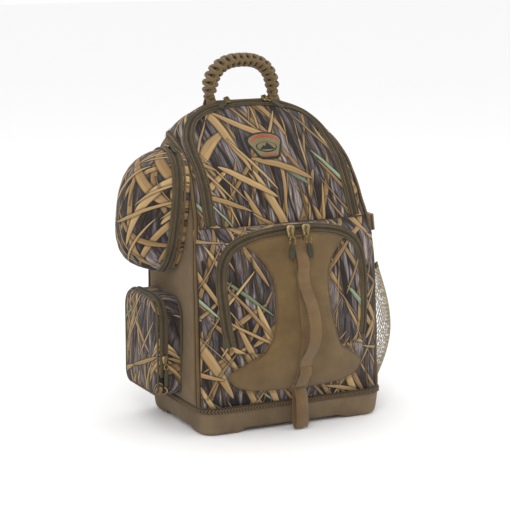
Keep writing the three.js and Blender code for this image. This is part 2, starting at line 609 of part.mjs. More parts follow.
const LADDER = { y: 126, z: 168 };
const ANCHOR_X = 112;
for (const [name, sign] of [['left', -1], ['right', 1]]) {
  const curve = new THREE.CatmullRomCurve3(STRAP_PATH.map(([x, y, z]) => new THREE.Vector3(sign * x, y, z)));
  const steps = 11;
  const rings = Array.from({ length: steps + 1 }, (_, i) => {
    const at = curve.getPointAt(i / steps);
    const along = curve.getTangentAt(i / steps);
    const thick = new THREE.Vector3(0, along.z, -along.y).normalize();
    const side = new THREE.Vector3().crossVectors(along, thick).normalize();
    const endTaper = i === 0 || i === steps ? 0.82 : 1;
    return Array.from({ length: 10 }, (_, k) => {
      const angle = (k / 10) * Math.PI * 2;
      const wide = 31 * endTaper * Math.sign(Math.cos(angle)) * Math.abs(Math.cos(angle)) ** 0.7;
      return at.clone().addScaledVector(side, wide).addScaledVector(thick, 7 * Math.sin(angle)).toArray();
    });
  });
  add(`shoulder_strap_${name}`, loft(rings.map((ring) => ring.slice().reverse())), MESH_PAD);
  const lockX = sign * 93.5;
  const lock = prismY(roundedRing(16, -9, 9, 3), 0, 5, [
    roundedRing(12.6, 1.6, 5.2, 1).slice().reverse(), roundedRing(12.6, -5.2, -1.6, 1).slice().reverse(),
  ]);
  add(`ladder_lock_${name}`, moved(lock, new THREE.Matrix4().makeTranslation(lockX, LADDER.y, LADDER.z)), PLASTIC);
  const webLow = [sign * ANCHOR_X, 113.2, 62];
  const webHigh = [lockX, LADDER.y - 2.2, LADDER.z - 10.5];
  const cross = (point, dy) => [
    [point[0] - 12, point[1] - dy, point[2]], [point[0] + 12, point[1] - dy, point[2]],
    [point[0] + 12, point[1] + dy, point[2]], [point[0] - 12, point[1] + dy, point[2]],
  ];
  add(`lower_web_${name}`, loft([cross(webLow, WEB / 2), cross(webHigh, WEB / 2)]), WEBBING);
  const anchor = [[sign * 98, 47], [sign * 138, 47], [sign * 128, 72], [sign * 97, 72]];
  add(`strap_anchor_${name}`, prismY(sign > 0 ? anchor : anchor.slice().reverse(), 107.8, 111.6), WEBBING);
}

/** A side-release buckle lying along +X: its socket, and its plug that pulls out to +X. */
function buckle(group, socketName, plugName, webLength) {
  const socket = box([-30, -4, -13], [0, 4, 13]).subtract(box([-16, -1.9, -10.5], [5, 1.9, 10.5]));
  const web = box([-30 - webLength, -0.8, -12], [-29, 0.8, 12]);
  add(socketName, socket.add(web), PLASTIC, group);
  const tongue = box([-14, -1.5, -9.5], [2, 1.5, 9.5]).subtract(box([-15, -3, -4], [-1, 3, 4]));
  add(plugName, tongue.add(box([0.5, -4, -13], [12, 4, 13])), PLASTIC, group);
}
const STERNUM_Z = 330;
const sternum = new THREE.Group();
sternum.position.set(6, 178, STERNUM_Z);
pack.add(sternum);
buckle(sternum, 'sternum_socket', 'sternum_plug', 24);

const compression = new THREE.Group();
compression.position.set(158.2, -30, 303);
compression.rotation.set(0, lean(-7), 0);
compression.rotateZ(Math.PI / 2);
pack.add(compression);
buckle(compression, 'compression_socket', 'compression_plug', 4);
const webTilt = new THREE.Matrix4().makeRotationY(lean(-7)).setPosition(158.2, 0, 303);
add('compression_web', moved(box([-1.2, 2, -12], [0.6, 96, 12]), webTilt), WEBBING);

// The origin is under the middle of the whole pack's outline, side pockets included.
const bounds = new THREE.Box3().setFromObject(pack);
const middle = bounds.getCenter(new THREE.Vector3());
pack.position.set(-middle.x, -middle.y, 0);

export default pack;
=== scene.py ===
import math

import bmesh
import bpy
import numpy as np
from mathutils import Matrix, Vector, geometry, noise


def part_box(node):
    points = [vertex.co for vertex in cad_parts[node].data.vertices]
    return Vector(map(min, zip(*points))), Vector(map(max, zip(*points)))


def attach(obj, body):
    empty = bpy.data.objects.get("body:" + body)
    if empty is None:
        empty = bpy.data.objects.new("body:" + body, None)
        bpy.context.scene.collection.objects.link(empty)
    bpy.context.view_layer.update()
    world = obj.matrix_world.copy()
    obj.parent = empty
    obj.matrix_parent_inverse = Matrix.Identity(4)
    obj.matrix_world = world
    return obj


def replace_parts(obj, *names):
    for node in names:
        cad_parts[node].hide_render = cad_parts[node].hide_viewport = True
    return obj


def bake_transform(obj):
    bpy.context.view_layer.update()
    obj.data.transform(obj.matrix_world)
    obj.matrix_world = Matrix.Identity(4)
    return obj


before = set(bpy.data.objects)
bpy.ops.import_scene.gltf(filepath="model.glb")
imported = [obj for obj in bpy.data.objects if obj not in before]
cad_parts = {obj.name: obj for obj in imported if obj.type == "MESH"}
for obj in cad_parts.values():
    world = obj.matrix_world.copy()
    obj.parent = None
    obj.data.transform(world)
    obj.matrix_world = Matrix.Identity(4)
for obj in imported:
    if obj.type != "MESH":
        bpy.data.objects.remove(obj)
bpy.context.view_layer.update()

# Lengths below are in millimetres about the middle of the base tub, as in the CAD part:
# +Z up, the front faces -Y. at() turns them into metres in the shared frame.
MM = 0.001
TUB_LOW, TUB_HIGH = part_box("base_tub")
TUB_MIDDLE_Y = 1.5
SHIFT = np.array([
    (TUB_LOW.x + TUB_HIGH.x) / 2,
    (TUB_LOW.y + TUB_HIGH.y) / 2 - TUB_MIDDLE_Y * MM,
    0.0,
])

# ------------------------------------------------------------------ camera and light
CAMERA_AZIMUTH = math.radians(-26.3)
CAMERA_ELEVATION = math.radians(11)
CAMERA_DISTANCE = 2800
CAMERA_TARGET = (-18.6, 0, 254.6)
CAMERA_LENS = 125.6


def at(points):
    """Pack millimetres to metres in the shared frame."""
    return np.asarray(points, float) * MM + SHIFT


def make_camera():
    """A three-quarter view from the front left."""
    back = Vector((
        math.sin(CAMERA_AZIMUTH) * math.cos(CAMERA_ELEVATION),
        -math.cos(CAMERA_AZIMUTH) * math.cos(CAMERA_ELEVATION),
        math.sin(CAMERA_ELEVATION),
    ))
    data = bpy.data.cameras.new("camera")
    data.lens = CAMERA_LENS
    data.clip_start = 0.1
    data.clip_end = 50
    camera = bpy.data.objects.new("camera", data)
    bpy.context.scene.collection.objects.link(camera)
    camera.location = Vector(at(CAMERA_TARGET)) + back * CAMERA_DISTANCE * MM
    camera.rotation_mode = "QUATERNION"
    camera.rotation_quaternion = (-back).to_track_quat("-Z", "Y")
    bpy.context.scene.camera = camera


def add_area(name, location, size, power):
    """A large soft lamp aimed at the middle of the pack."""
    data = bpy.data.lights.new(name, "AREA")
    data.energy = power
    data.size = size
    lamp = bpy.data.objects.new(name, data)
    bpy.context.scene.collection.objects.link(lamp)
    lamp.location = location
    lamp.rotation_mode = "QUATERNION"
    lamp.rotation_quaternion = (Vector((0, 0, 0.28)) - lamp.location).to_track_quat("-Z", "Y")


def make_studio():
    """A white floor that runs off to white, with soft light from above and the front."""
    world = bpy.data.worlds.new("studio")
    bpy.context.scene.world = world
    world.use_nodes = True
    world.node_tree.nodes["Background"].inputs["Color"].default_value = (1, 1, 1, 1)
    world.node_tree.nodes["Background"].inputs["Strength"].default_value = 1.0
    bpy.context.scene.view_settings.view_transform = "Standard"
    add_area("key", (-1.6, -2.6, 2.4), 1.4, 34)
    add_area("fill", (2.6, -1.8, 1.4), 2.0, 10)
    add_area("top", (0.2, 0.6, 2.8), 1.8, 12)
    floor_mesh = bpy.data.meshes.new("floor")
    half = 12
    floor_mesh.from_pydata([(-half, -half, 0), (half, -half, 0), (half, half, 0), (-half, half, 0)], [],
                           [(0, 1, 2, 3)])
    floor = bpy.data.objects.new("floor", floor_mesh)
    bpy.context.scene.collection.objects.link(floor)
    white = bpy.data.materials.new("floor_white")
    white.use_nodes = True
    white.node_tree.nodes["Principled BSDF"].inputs["Base Color"].default_value = (0.94, 0.94, 0.94, 1)
    white.node_tree.nodes["Principled BSDF"].inputs["Roughness"].default_value = 0.9
    floor_mesh.materials.append(white)


make_camera()
make_studio()


# ------------------------------------------------------------------ node material helpers
def srgb(red, green, blue):
    """0-255 screen colour to the linear colour that shaders use."""
    return tuple((value / 255) ** 2.2 for value in (red, green, blue)) + (1.0,)


class Tree:
    """Short calls for building a node tree."""

    def __init__(self, tree):
        self.tree = tree

    def node(self, kind, inputs=(), **settings):
        made = self.tree.nodes.new(kind)
        for key, value in settings.items():
            setattr(made, key, value)
        for key, value in dict(inputs).items():
            self.put(made.inputs[key], value)
        return made

    def put(self, socket, value):
        if isinstance(value, bpy.types.NodeSocket):
            self.tree.links.new(value, socket)
        else:
            socket.default_value = value

    def math(self, operation, a, b=0.0, clamp=False):
        return self.node("ShaderNodeMath", {0: a, 1: b}, operation=operation, use_clamp=clamp).outputs[0]

    def mix(self, factor, a, b, blend="MIX"):
        made = self.node("ShaderNodeMix", data_type="RGBA", blend_type=blend)
        self.put(made.inputs[0], factor)
        self.put(made.inputs[6], a)
        self.put(made.inputs[7], b)
        return made.outputs[2]

    def combine(self, x, y, z=0.0):
        return self.node("ShaderNodeCombineXYZ", {0: x, 1: y, 2: z}).outputs[0]

    def separate(self, vector):
        return self.node("ShaderNodeSeparateXYZ", {0: vector}).outputs

    def scaled(self, vector, x, y, z=1.0):
        return self.node("ShaderNodeVectorMath", {0: vector, 1: (x, y, z)}, operation="MULTIPLY").outputs[0]

    def noise(self, vector, scale, detail=3.0, roughness=0.55):
        made = self.node("ShaderNodeTexNoise", {
            "Vector": vector, "Scale": scale, "Detail": detail, "Roughness": roughness,
        })
        return made.outputs[0]

    def ramp(self, factor, stops):
        made = self.node("ShaderNodeValToRGB", {0: factor})
        elements = made.color_ramp.elements
        while len(elements) < len(stops):
            elements.new(0.5)
        for element, (position, colour) in zip(elements, stops):
            element.position = position
            element.color = colour
        return made.outputs[0]


def blank_material(name, roughness, metallic=0.0, sheen=0.0, specular=0.5):
    """A material with its own shader, and the tree to add to."""
    made = bpy.data.materials.new(name)
    made.use_nodes = True
    shader = made.node_tree.nodes["Principled BSDF"]
    shader.inputs["Roughness"].default_value = roughness
    shader.inputs["Metallic"].default_value = metallic
    shader.inputs["Sheen Weight"].default_value = sheen
    shader.inputs["Sheen Roughness"].default_value = 0.6
    shader.inputs["Specular IOR Level"].default_value = specular
    return made, shader, Tree(made.node_tree)


def add_bump(t, shader, height, distance, strength=1.0):
    bump = t.node("ShaderNodeBump", {"Height": height, "Distance": distance, "Strength": strength})
    t.put(shader.inputs["Normal"], bump.outputs[0])


def weave_height(t, uv, pitch):
    """Plain weave: threads over and under at the pitch, in metres."""
    u, v, _ = t.separate(uv)
    turn = math.pi / pitch
    warp = t.math("SINE", t.math("MULTIPLY", u, turn))
    weft = t.math("SINE", t.math("MULTIPLY", v, turn))
    return t.math("ABSOLUTE", t.math("MULTIPLY", warp, weft))


# ------------------------------------------------------------------ camouflage print
# Reed layers: tilt in degrees, cell width and length in mm, half width as a share of the
# cell, bend, share of cells kept, and the two edge colours.
TAN_DARK = srgb(126, 100, 68)
TAN_LIGHT = srgb(184, 152, 106)
STRAW_DARK = srgb(146, 118, 80)
STRAW_LIGHT = srgb(196, 166, 120)
GREEN_DARK = srgb(98, 110, 86)
GREEN_LIGHT = srgb(162, 178, 146)
SHADOW = srgb(24, 20, 20)
REED_LAYERS = [
    (-14, 24, 130, 0.20, 0.30, 0.55, SHADOW, srgb(48, 42, 40)),
    (22, 30, 150, 0.17, 0.25, 0.42, TAN_DARK, STRAW_DARK),
    (-34, 24, 130, 0.19, 0.28, 0.44, TAN_DARK, TAN_LIGHT),
    (8, 22, 170, 0.17, 0.22, 0.40, STRAW_DARK, TAN_LIGHT),
    (-8, 13, 90, 0.14, 0.35, 0.45, SHADOW, TAN_DARK),
    (50, 32, 120, 0.17, 0.30, 0.34, TAN_DARK, TAN_LIGHT),
    (-48, 56, 100, 0.06, 0.12, 0.34, GREEN_DARK, GREEN_LIGHT),
    (-26, 30, 170, 0.20, 0.26, 0.50, STRAW_DARK, STRAW_LIGHT),
    (34, 15, 84, 0.12, 0.34, 0.28, TAN_DARK, STRAW_LIGHT),
    (-40, 17, 96, 0.12, 0.30, 0.32, TAN_DARK, STRAW_LIGHT),
    (-66, 40, 100, 0.10, 0.22, 0.30, STRAW_DARK, TAN_LIGHT),
]


def reed_layer(t, uv, below, index, layer):
    """One layer of tapered curved reed blades, each with its own shade, over what is below."""
    tilt, width, length, size, bend, kept, low, high = layer
    turned = t.node("ShaderNodeVectorRotate", {
        "Vector": uv, "Center": (0.13 * index, 0.07, 0), "Angle": math.radians(tilt),
    }, rotation_type="Z_AXIS").outputs[0]
    across, along, _ = t.separate(turned)
    cells = t.math("DIVIDE", across, width * MM)
    column = t.math("FLOOR", cells)
    start = t.node("ShaderNodeTexWhiteNoise", {"Vector": t.combine(column, index * 3.7)},
                   noise_dimensions="2D").outputs["Value"]
    runs = t.math("ADD", t.math("DIVIDE", along, length * MM), start)
    row = t.math("FLOOR", runs)
    dice = t.node("ShaderNodeTexWhiteNoise", {"Vector": t.combine(column, row, index * 5.3)},
                  noise_dimensions="3D")
    first, second, third = t.separate(dice.outputs["Color"])
    fourth = dice.outputs["Value"]
    place = t.math("SUBTRACT", t.math("FRACT", cells), 0.5)
    reach = t.math("FRACT", runs)
    middle = t.math("SUBTRACT", reach, 0.5)
    shift = t.math("MULTIPLY", t.math("SUBTRACT", first, 0.5), 0.30)
    slope = t.math("MULTIPLY", t.math("MULTIPLY", middle, t.math("SUBTRACT", second, 0.5)), 0.42)
    arc = t.math("SUBTRACT", t.math("MULTIPLY", t.math("MULTIPLY", middle, middle), 4.0), 0.5)
    curve = t.math("MULTIPLY", t.math("MULTIPLY", arc, t.math("SUBTRACT", third, 0.5)), bend)
    wave = t.math("MULTIPLY", t.math("SUBTRACT", t.noise(turned, 24.0, 2.0), 0.5), 0.10)
    centre = t.math("ADD", t.math("ADD", shift, slope), t.math("ADD", curve, wave))
    from_rib = t.math("SUBTRACT", place, centre)
    taper = t.math("POWER", t.math("MULTIPLY", t.math("MULTIPLY", reach, t.math("SUBTRACT", 1.0, reach)),
                                   4.0),
                   0.55)
    half = t.math("MULTIPLY", t.math("MULTIPLY", taper, t.math("ADD", fourth, 0.35)), size)
    inside = t.math("SUBTRACT", half, t.math("ABSOLUTE", from_rib))
    chosen = t.math("LESS_THAN", t.math("FRACT", t.math("MULTIPLY", t.math("ADD", first, third), 7.31)),
                    kept)
    edge = 0.35 / width
    mask = t.math("MULTIPLY", t.math("DIVIDE", inside, edge, clamp=True), chosen)
    halo = t.math("MULTIPLY", t.math("DIVIDE", t.math("ADD", inside, 3.0 / width), 3.0 / width, clamp=True),
                  chosen)
    side = t.math("DIVIDE", from_rib, t.math("MAXIMUM", half, 0.001))
    lean = t.math("ADD", t.math("MULTIPLY", side, 0.35), t.math("MULTIPLY", second, 0.75), clamp=True)
    fibres = t.noise(t.scaled(turned, 900.0, 45.0), 1.0, 3.0)
    blade = t.mix(lean, low, high)
    blade = t.mix(t.math("MULTIPLY", t.math("SUBTRACT", 0.62, fibres, clamp=True), 1.9), blade, low)
    rib = t.math("LESS_THAN", t.math("ABSOLUTE", side), 0.09)
    blade = t.mix(t.math("MULTIPLY", rib, 0.16), blade, SHADOW)
    rim = t.math("GREATER_THAN", t.math("ABSOLUTE", side), 0.80)
    blade = t.mix(t.math("MULTIPLY", rim, 0.5), blade, SHADOW)
    shaded = t.mix(t.math("MULTIPLY", halo, 0.7), below, SHADOW)
    return t.mix(mask, shaded, blade)


def make_camo_group():
    """The print as a node group: its colour at a place on the cloth, in metres."""
    group = bpy.data.node_groups.new("reed_print", "ShaderNodeTree")
    group.interface.new_socket("Vector", in_out="INPUT", socket_type="NodeSocketVector")
    group.interface.new_socket("Color", in_out="OUTPUT", socket_type="NodeSocketColor")
    t = Tree(group)
    uv = t.node("NodeGroupInput").outputs[0]
    bent = t.node("ShaderNodeVectorMath", {
        0: uv, 1: t.scaled(t.node("ShaderNodeTexNoise", {"Vector": uv, "Scale": 14.0}).outputs["Color"],
                           0.012, 0.004),
    }, operation="ADD").outputs[0]
    streaks = t.noise(t.scaled(bent, 150.0, 14.0), 1.0, 6.0, 0.62)
    patches = t.noise(t.scaled(bent, 22.0, 9.0), 1.0, 3.0)
    level = t.math("ADD", t.math("MULTIPLY", streaks, 0.75), t.math("MULTIPLY", patches, 0.35))
    colour = t.ramp(level, [
        (0.40, srgb(22, 18, 19)), (0.48, srgb(50, 45, 46)), (0.55, srgb(84, 77, 79)),
        (0.62, srgb(124, 114, 112)), (0.69, srgb(176, 160, 146)), (0.78, srgb(112, 98, 88)),
    ])
    furrows = t.noise(t.scaled(bent, 230.0, 12.0), 1.0, 4.0)
    furrow = t.math("MULTIPLY", t.math("SUBTRACT", furrows, 0.53, clamp=True), 14.0, clamp=True)
    colour = t.mix(t.math("MULTIPLY", furrow, 0.82), colour, SHADOW)
    for index, layer in enumerate(REED_LAYERS, 1):
        colour = reed_layer(t, uv, colour, index, layer)
    t.put(t.node("NodeGroupOutput").inputs[0], colour)
    return group


CAMO_GROUP = make_camo_group()


def make_camo():
    made, shader, t = blank_material("camo_cloth", 0.88, sheen=0.05, specular=0.2)
    uv = t.node("ShaderNodeUVMap").outputs[0]
    printed = t.node("ShaderNodeGroup")
    printed.node_tree = CAMO_GROUP
    t.put(printed.inputs[0], uv)
    wear = t.noise(uv, 30.0, 4.0)
    colour = t.mix(t.math("MULTIPLY", wear, 0.10), printed.outputs[0], srgb(118, 104, 86))
    t.put(shader.inputs["Base Color"], colour)
    height = t.math("ADD", t.math("MULTIPLY", weave_height(t, uv, 0.0009), 0.5),
                    t.math("MULTIPLY", t.noise(uv, 700.0, 2.0), 0.5))
    add_bump(t, shader, height, 0.0003, 0.5)
    return made


def make_cloth(name, dark, light, pitch, depth, roughness=0.9, mottle=26.0, ribs=0.0, upright=False):
    """A plain dyed weave with slight fading, and painted shade in the weave's valleys; ribs adds cross ribs
    at that pitch, in metres.
    upright lays the weave on X and Z of the object, for CAD panels that face the front."""
    made, shader, t = blank_material(name, roughness, sheen=0.15, specular=0.2)
    if upright:
        x, _, z = t.separate(t.node("ShaderNodeTexCoord").outputs["Object"])
        uv = t.combine(x, z)
    else:
        uv = t.node("ShaderNodeUVMap").outputs[0]
    cloud = t.noise(uv, mottle, 5.0, 0.6)
    thread = t.noise(t.scaled(uv, 1400.0, 1400.0), 1.0, 2.0)
    height = weave_height(t, uv, pitch)
    if ribs:
        along = t.separate(uv)[0]
        rib = t.math("ABSOLUTE", t.math("SINE", t.math("MULTIPLY", along, math.pi / ribs)))
        height = t.math("ADD", t.math("MULTIPLY", height, 0.4), t.math("MULTIPLY", rib, 0.8))
    shade = t.math("ADD", t.math("MULTIPLY", cloud, 0.55), t.math("MULTIPLY", thread, 0.35))
    # The weave's height goes into the colour too: painted shade in the valleys between threads and painted
    # light on their crests.
    shade = t.math("ADD", shade, t.math("MULTIPLY", height, 0.18), clamp=True)
    t.put(shader.inputs["Base Color"], t.ramp(shade, [(0.30, dark), (0.72, light)]))
    add_bump(t, shader, t.math("ADD", height, t.math("MULTIPLY", thread, 0.4)), depth, 0.7)
    return made


def make_moulded(name, dark, light, roughness, speckle=900.0, depth=0.00025, metallic=0.0, wear=None):
    """Moulded plastic, rubber or cast metal with a fine grain and a slightly uneven tone."""
    made, shader, t = blank_material(name, roughness, metallic=metallic, specular=0.35)
    place = t.node("ShaderNodeTexCoord").outputs["Object"]
    grain = t.noise(place, speckle, 2.0)
    cloud = t.noise(place, 18.0, 4.0)
    shade = t.math("ADD", t.math("MULTIPLY", grain, 0.5), t.math("MULTIPLY", cloud, 0.5))
    colour = t.ramp(shade, [(0.36, dark), (0.64, light)])
    if wear:
        edge = t.node("ShaderNodeNewGeometry").outputs["Pointiness"]
        worn = t.math("MULTIPLY", t.math("SUBTRACT", edge, 0.52, clamp=True), 9.0, clamp=True)
        colour = t.mix(worn, colour, wear)
    t.put(shader.inputs["Base Color"], colour)
    add_bump(t, shader, grain, depth, 0.6)
    return made


CAMO = make_camo()
CANVAS = make_cloth("brown_cloth", srgb(80, 62, 38), srgb(116, 94, 60), 0.0011, 0.0003)
PIPING = make_cloth("piping_cloth", srgb(72, 57, 35), srgb(108, 87, 56), 0.0012, 0.0002)
WEBBING = make_cloth("web_cloth", srgb(74, 56, 35), srgb(120, 96, 66), 0.0016, 0.0004, ribs=0.0021)
TAPE = make_cloth("tape_cloth", srgb(54, 45, 30), srgb(92, 79, 54), 0.0007, 0.0002)
COIL = make_cloth("coil_cloth", srgb(24, 20, 14), srgb(56, 48, 34), 0.0006, 0.0002, roughness=0.6)
LINING = make_cloth("lining_cloth", srgb(44, 40, 33), srgb(70, 64, 52), 0.0008, 0.0002, upright=True)
MESH_PAD = make_cloth("pad_mesh", srgb(40, 36, 28), srgb(78, 70, 54), 0.0034, 0.0011)
BINDING = make_cloth("binding_cloth", srgb(34, 27, 17), srgb(66, 52, 33), 0.0012, 0.0004)
THREAD = make_cloth("thread", srgb(120, 98, 62), srgb(170, 144, 98), 0.0005, 0.0001, roughness=0.7)
BROWN_THREAD = make_cloth("brown_thread", srgb(70, 54, 32), srgb(118, 92, 56), 0.0005, 0.0001,
                          roughness=0.7)
CORD = make_cloth("cord_cloth", srgb(72, 57, 35), srgb(130, 108, 72), 0.0013, 0.0004, roughness=0.75)
NET = make_cloth("net_cord", srgb(122, 110, 88), srgb(188, 176, 150), 0.0006, 0.0001, roughness=0.7)
BASE = make_moulded("base_plastic", srgb(84, 69, 50), srgb(114, 97, 75), 0.72, wear=srgb(140, 122, 98))
BUCKLE = make_moulded("buckle_plastic", srgb(70, 56, 36), srgb(96, 78, 52), 0.45, wear=srgb(120, 102, 76))
BRASS = make_moulded("antique_brass", srgb(84, 70, 46), srgb(160, 138, 98), 0.38, 400.0, 0.00008, 0.85,
                     wear=srgb(206, 186, 142))
RUBBER = make_moulded("pull_rubber", srgb(48, 43, 31), srgb(76, 69, 50), 0.6, 1200.0, 0.00015)
PATCH = make_moulded("patch_rubber", srgb(98, 90, 64), srgb(124, 114, 84), 0.6, 1200.0, 0.00015)
PATCH_DARK = make_moulded("patch_edge", srgb(24, 24, 18), srgb(44, 42, 32), 0.55, 1200.0, 0.00015)
PATCH_RED = make_moulded("patch_red", srgb(136, 58, 40), srgb(170, 82, 60), 0.55, 1200.0, 0.00015)


# ------------------------------------------------------------------ the pack's own shape
# Body sections: height, half width, front, rear, corner radius, and how far the front bows out.
BODY = [
    (12, 150, -84, 104, 8, 2), (44, 157, -86, 105, 8, 2), (60, 158, -84, 106, 8, 2),
    (140, 157, -80, 107, 8, 2), (200, 156, -77, 107, 8, 2), (242, 155.5, -74, 107, 8, 2),
    (292, 152, -67, 107, 8, 2), (316, 149.5, -61, 107, 8, 2), (342, 145.5, -50, 106.5, 8, 3),
    (362, 143.5, -41, 106, 8, 4), (382, 141.5, -29, 106, 9, 5), (402, 139.5, -14, 105.5, 10, 6),
    (422, 137, 10, 105, 14, 10), (437, 132, 27, 104, 20, 15), (450, 124, 36, 103, 24, 15),
    (462, 112, 45, 101, 24, 12), (472, 97, 53, 99, 21, 8), (480, 78, 62, 97, 16, 5),
    (486, 58, 72, 95, 10, 2), (490, 36, 81, 93, 5, 0),
]
BACK_SEAM = 102
WALL_FOOT = 39
SIDE_EDGE = [
    (-84.5, 39), (-84, 44), (-82, 60), (-78, 140), (-75, 200), (-72, 242), (-65, 292), (-57, 322),
    (-47, 342),
    (-38, 362), (-26, 382), (-11, 402), (15, 422), (45, 435), (73, 441), (99, 444),
]
MAIN_ZIP = [
    (124.5, 318), (123.5, 342), (122.5, 362), (122, 382), (122.5, 402), (122, 422), (118, 441),
    (108, 458), (95, 469.5), (74, 479), (45, 484.5), (15, 486.6),
]
MAIN_SEAM = 312
POCKET_MIDDLE = [
    (44.3, -101), (60, -107), (80, -118), (100, -127), (125, -135), (150, -138), (180, -134),
    (210, -128), (240, -121), (270, -112), (300, -105), (316, -102),
]
POCKET_HALF_WIDTH = 158
POCKET_EDGE = 153
POCKET_POWER = 2.1
POCKET_CREASE = [(0, 314.5), (60, 312), (90, 306), (120, 298), (153, 292)]
POCKET_TOP = 315.4
CREASE_START = 4                  # the front starts to turn into the top this far below the crease
FRONT_ZIP = [
    (107, 128.5), (113, 140), (117, 160), (119, 180), (120.5, 200), (122, 220), (122, 240),
    (119.5, 262), (111, 280), (101, 290), (85, 299.5), (55, 307), (25, 310.6), (8, 311.3),
]
OVERLAY = [
    (70, 67), (92, 72), (104, 78), (111, 87), (114, 97), (98, 108), (80, 120), (66, 127.2),
    (58, 140), (51, 160), (47, 180), (45, 200), (44.5, 220), (46, 240), (54, 260), (69, 279),
    (85, 290.5), (62, 299), (25, 304), (8, 305),
]


def curve_at(rows, key, column=1):
    """Smooth look-up in a list of [key, value...] rows."""
    keys = np.array([row[0] for row in rows], float)
    values = np.array([row[column] for row in rows], float)
    slopes = np.gradient(values, keys)
    key = np.clip(np.asarray(key, float), keys[0], keys[-1])
    i = np.clip(np.searchsorted(keys, key) - 1, 0, len(keys) - 2)
    step = keys[i + 1] - keys[i]
    t = (key - keys[i]) / step
    return ((2 * t**3 - 3 * t**2 + 1) * values[i] + (t**3 - 2 * t**2 + t) * step * slopes[i]
            + (3 * t**2 - 2 * t**3) * values[i + 1] + (t**3 - t**2) * step * slopes[i + 1])


def body_point(u, z):
    """The fabric body at a distance u along its ring from the front's middle, and a height."""
    half, front, rear, radius, crown = (curve_at(BODY, z, column) for column in range(1, 6))
    radius = np.maximum(radius, 1)
    flat = half - radius
    arc = radius * math.pi / 2
    flank = np.maximum(rear - front - 2 * radius, 0)
    side = np.sign(u)
    a = np.abs(u)
    angle = np.clip((a - flat) / radius, 0, math.pi / 2)
    straight = np.clip(a - flat - arc, 0, flank)
    rear_angle = np.clip((a - flat - arc - flank) / radius, 0, math.pi / 2)
    past = np.clip(a - flat - 2 * arc - flank, 0, flat)
    x = np.minimum(a, flat) + radius * np.sin(angle) - radius * (1 - np.cos(rear_angle)) - past
    y = (front - crown * np.clip(1 - (np.minimum(a, flat) / flat) ** 2, 0, 1)
         + radius * (1 - np.cos(angle)) + straight + radius * np.sin(rear_angle))
    return np.stack([side * x, y, z + 0 * x], -1)


def u_of_x(x, z):
    """Ring distance of a point of the front that is seen at x."""
    half, radius = curve_at(BODY, z, 1), curve_at(BODY, z, 4)
    flat = half - radius
    a = np.abs(x)
    bend = np.arcsin(np.clip((a - flat) / radius, 0, 1)) * radius
    return np.sign(x) * (np.minimum(a, flat) + bend)


def u_of_y(y, z):
    """Ring distance of a point of the flank that is seen at y."""
    half, front, rear, radius = (curve_at(BODY, z, column) for column in range(1, 5))
    arc = radius * math.pi / 2
    early = np.arccos(np.clip(1 - (y - front) / radius, -1, 1)) * radius
    late = np.arcsin(np.clip((y - rear + radius) / radius, 0, 1)) * radius
    straight = np.clip(y - front - radius, 0, np.maximum(rear - front - 2 * radius, 0))
    return half - radius + np.where(y < front + radius, early, arc + straight + late)


def pocket_front(x, z):
    share = (np.abs(x) / POCKET_HALF_WIDTH) ** POCKET_POWER
    middle = curve_at(POCKET_MIDDLE, z)
    return middle + (curve_at(BODY, z, 2) - 1 - middle) * share


def pocket_shelf(x):
    """Start height, length and end of the pocket's top, from its crease to the body."""
    share = (np.abs(x) / POCKET_HALF_WIDTH) ** POCKET_POWER
    crease = curve_at(POCKET_CREASE, np.abs(x))
    front = pocket_front(x, crease)
    end = curve_at(BODY, POCKET_TOP, 2) - curve_at(BODY, POCKET_TOP, 5) * (1 - share) - 0.5
    return crease, front, end, np.hypot(end - front, POCKET_TOP - crease) + CREASE_START


def pocket_point(x, w):
    """The front pocket's skin at x, and at a distance w up its front and then over its top."""
    crease, front, end, length = pocket_shelf(x)
    start = crease - CREASE_START
    t = np.clip((w - start) / length, 0, 1)
    low_y = pocket_front(x, start)
    ys = [low_y, front + 0.6, front + 7, end]
    zs = [start, crease + 1.0, np.minimum(crease + 2.6, POCKET_TOP), POCKET_TOP + 0 * crease]
    weights = [(1 - t) ** 3, 3 * t * (1 - t) ** 2, 3 * t**2 * (1 - t), t**3]
    over_y = sum(weight * y for weight, y in zip(weights, ys))
    over_z = sum(weight * z for weight, z in zip(weights, zs))
    below = w < start
    return np.stack([
        x + 0 * w, np.where(below, pocket_front(x, w), over_y), np.where(below, w, over_z),
    ], -1)


# ------------------------------------------------------------------ mesh building
def resample(path, step, closed=False):
    """Points a step apart along a path."""
    path = np.asarray(path, float)
    if closed:
        path = np.vstack([path, path[:1]])
    lengths = np.linalg.norm(np.diff(path, axis=0), axis=1)
    walked = np.concatenate([[0], np.cumsum(lengths)])
    count = max(int(round(walked[-1] / step)), 2)
    places = np.linspace(0, walked[-1], count + 1)
    made = np.stack([np.interp(places, walked, path[:, k]) for k in range(path.shape[1])], -1)
    return made[:-1] if closed else made


def smooth_path(path, step, closed=False, rounds=3):
    """A path with its corners cut, and points a step apart."""
    path = np.asarray(path, float)
    for _ in range(rounds):
        following = np.roll(path, -1, axis=0)
        a, b = path * 0.75 + following * 0.25, path * 0.25 + following * 0.75
        cut = np.stack([a, b], 1).reshape(-1, path.shape[1])
        path = cut if closed else np.vstack([path[:1], cut[:-2], path[-1:]])
    return resample(path, step, closed)


def unit(vectors):
    return vectors / np.maximum(np.linalg.norm(vectors, axis=-1, keepdims=True), 1e-9)


def normals_of(surface, u, v, sign=1.0):
    """Outward normals of a surface function by small steps."""
    e = 0.4
    du = surface(u + e, v) - surface(u - e, v)
    dv = surface(u, v + e) - surface(u, v - e)
    return unit(np.cross(du, dv)) * sign


def tangents(points, closed=False):
    if closed:
        return unit(np.roll(points, -1, axis=0) - np.roll(points, 1, axis=0))
    return unit(np.gradient(points, axis=0))


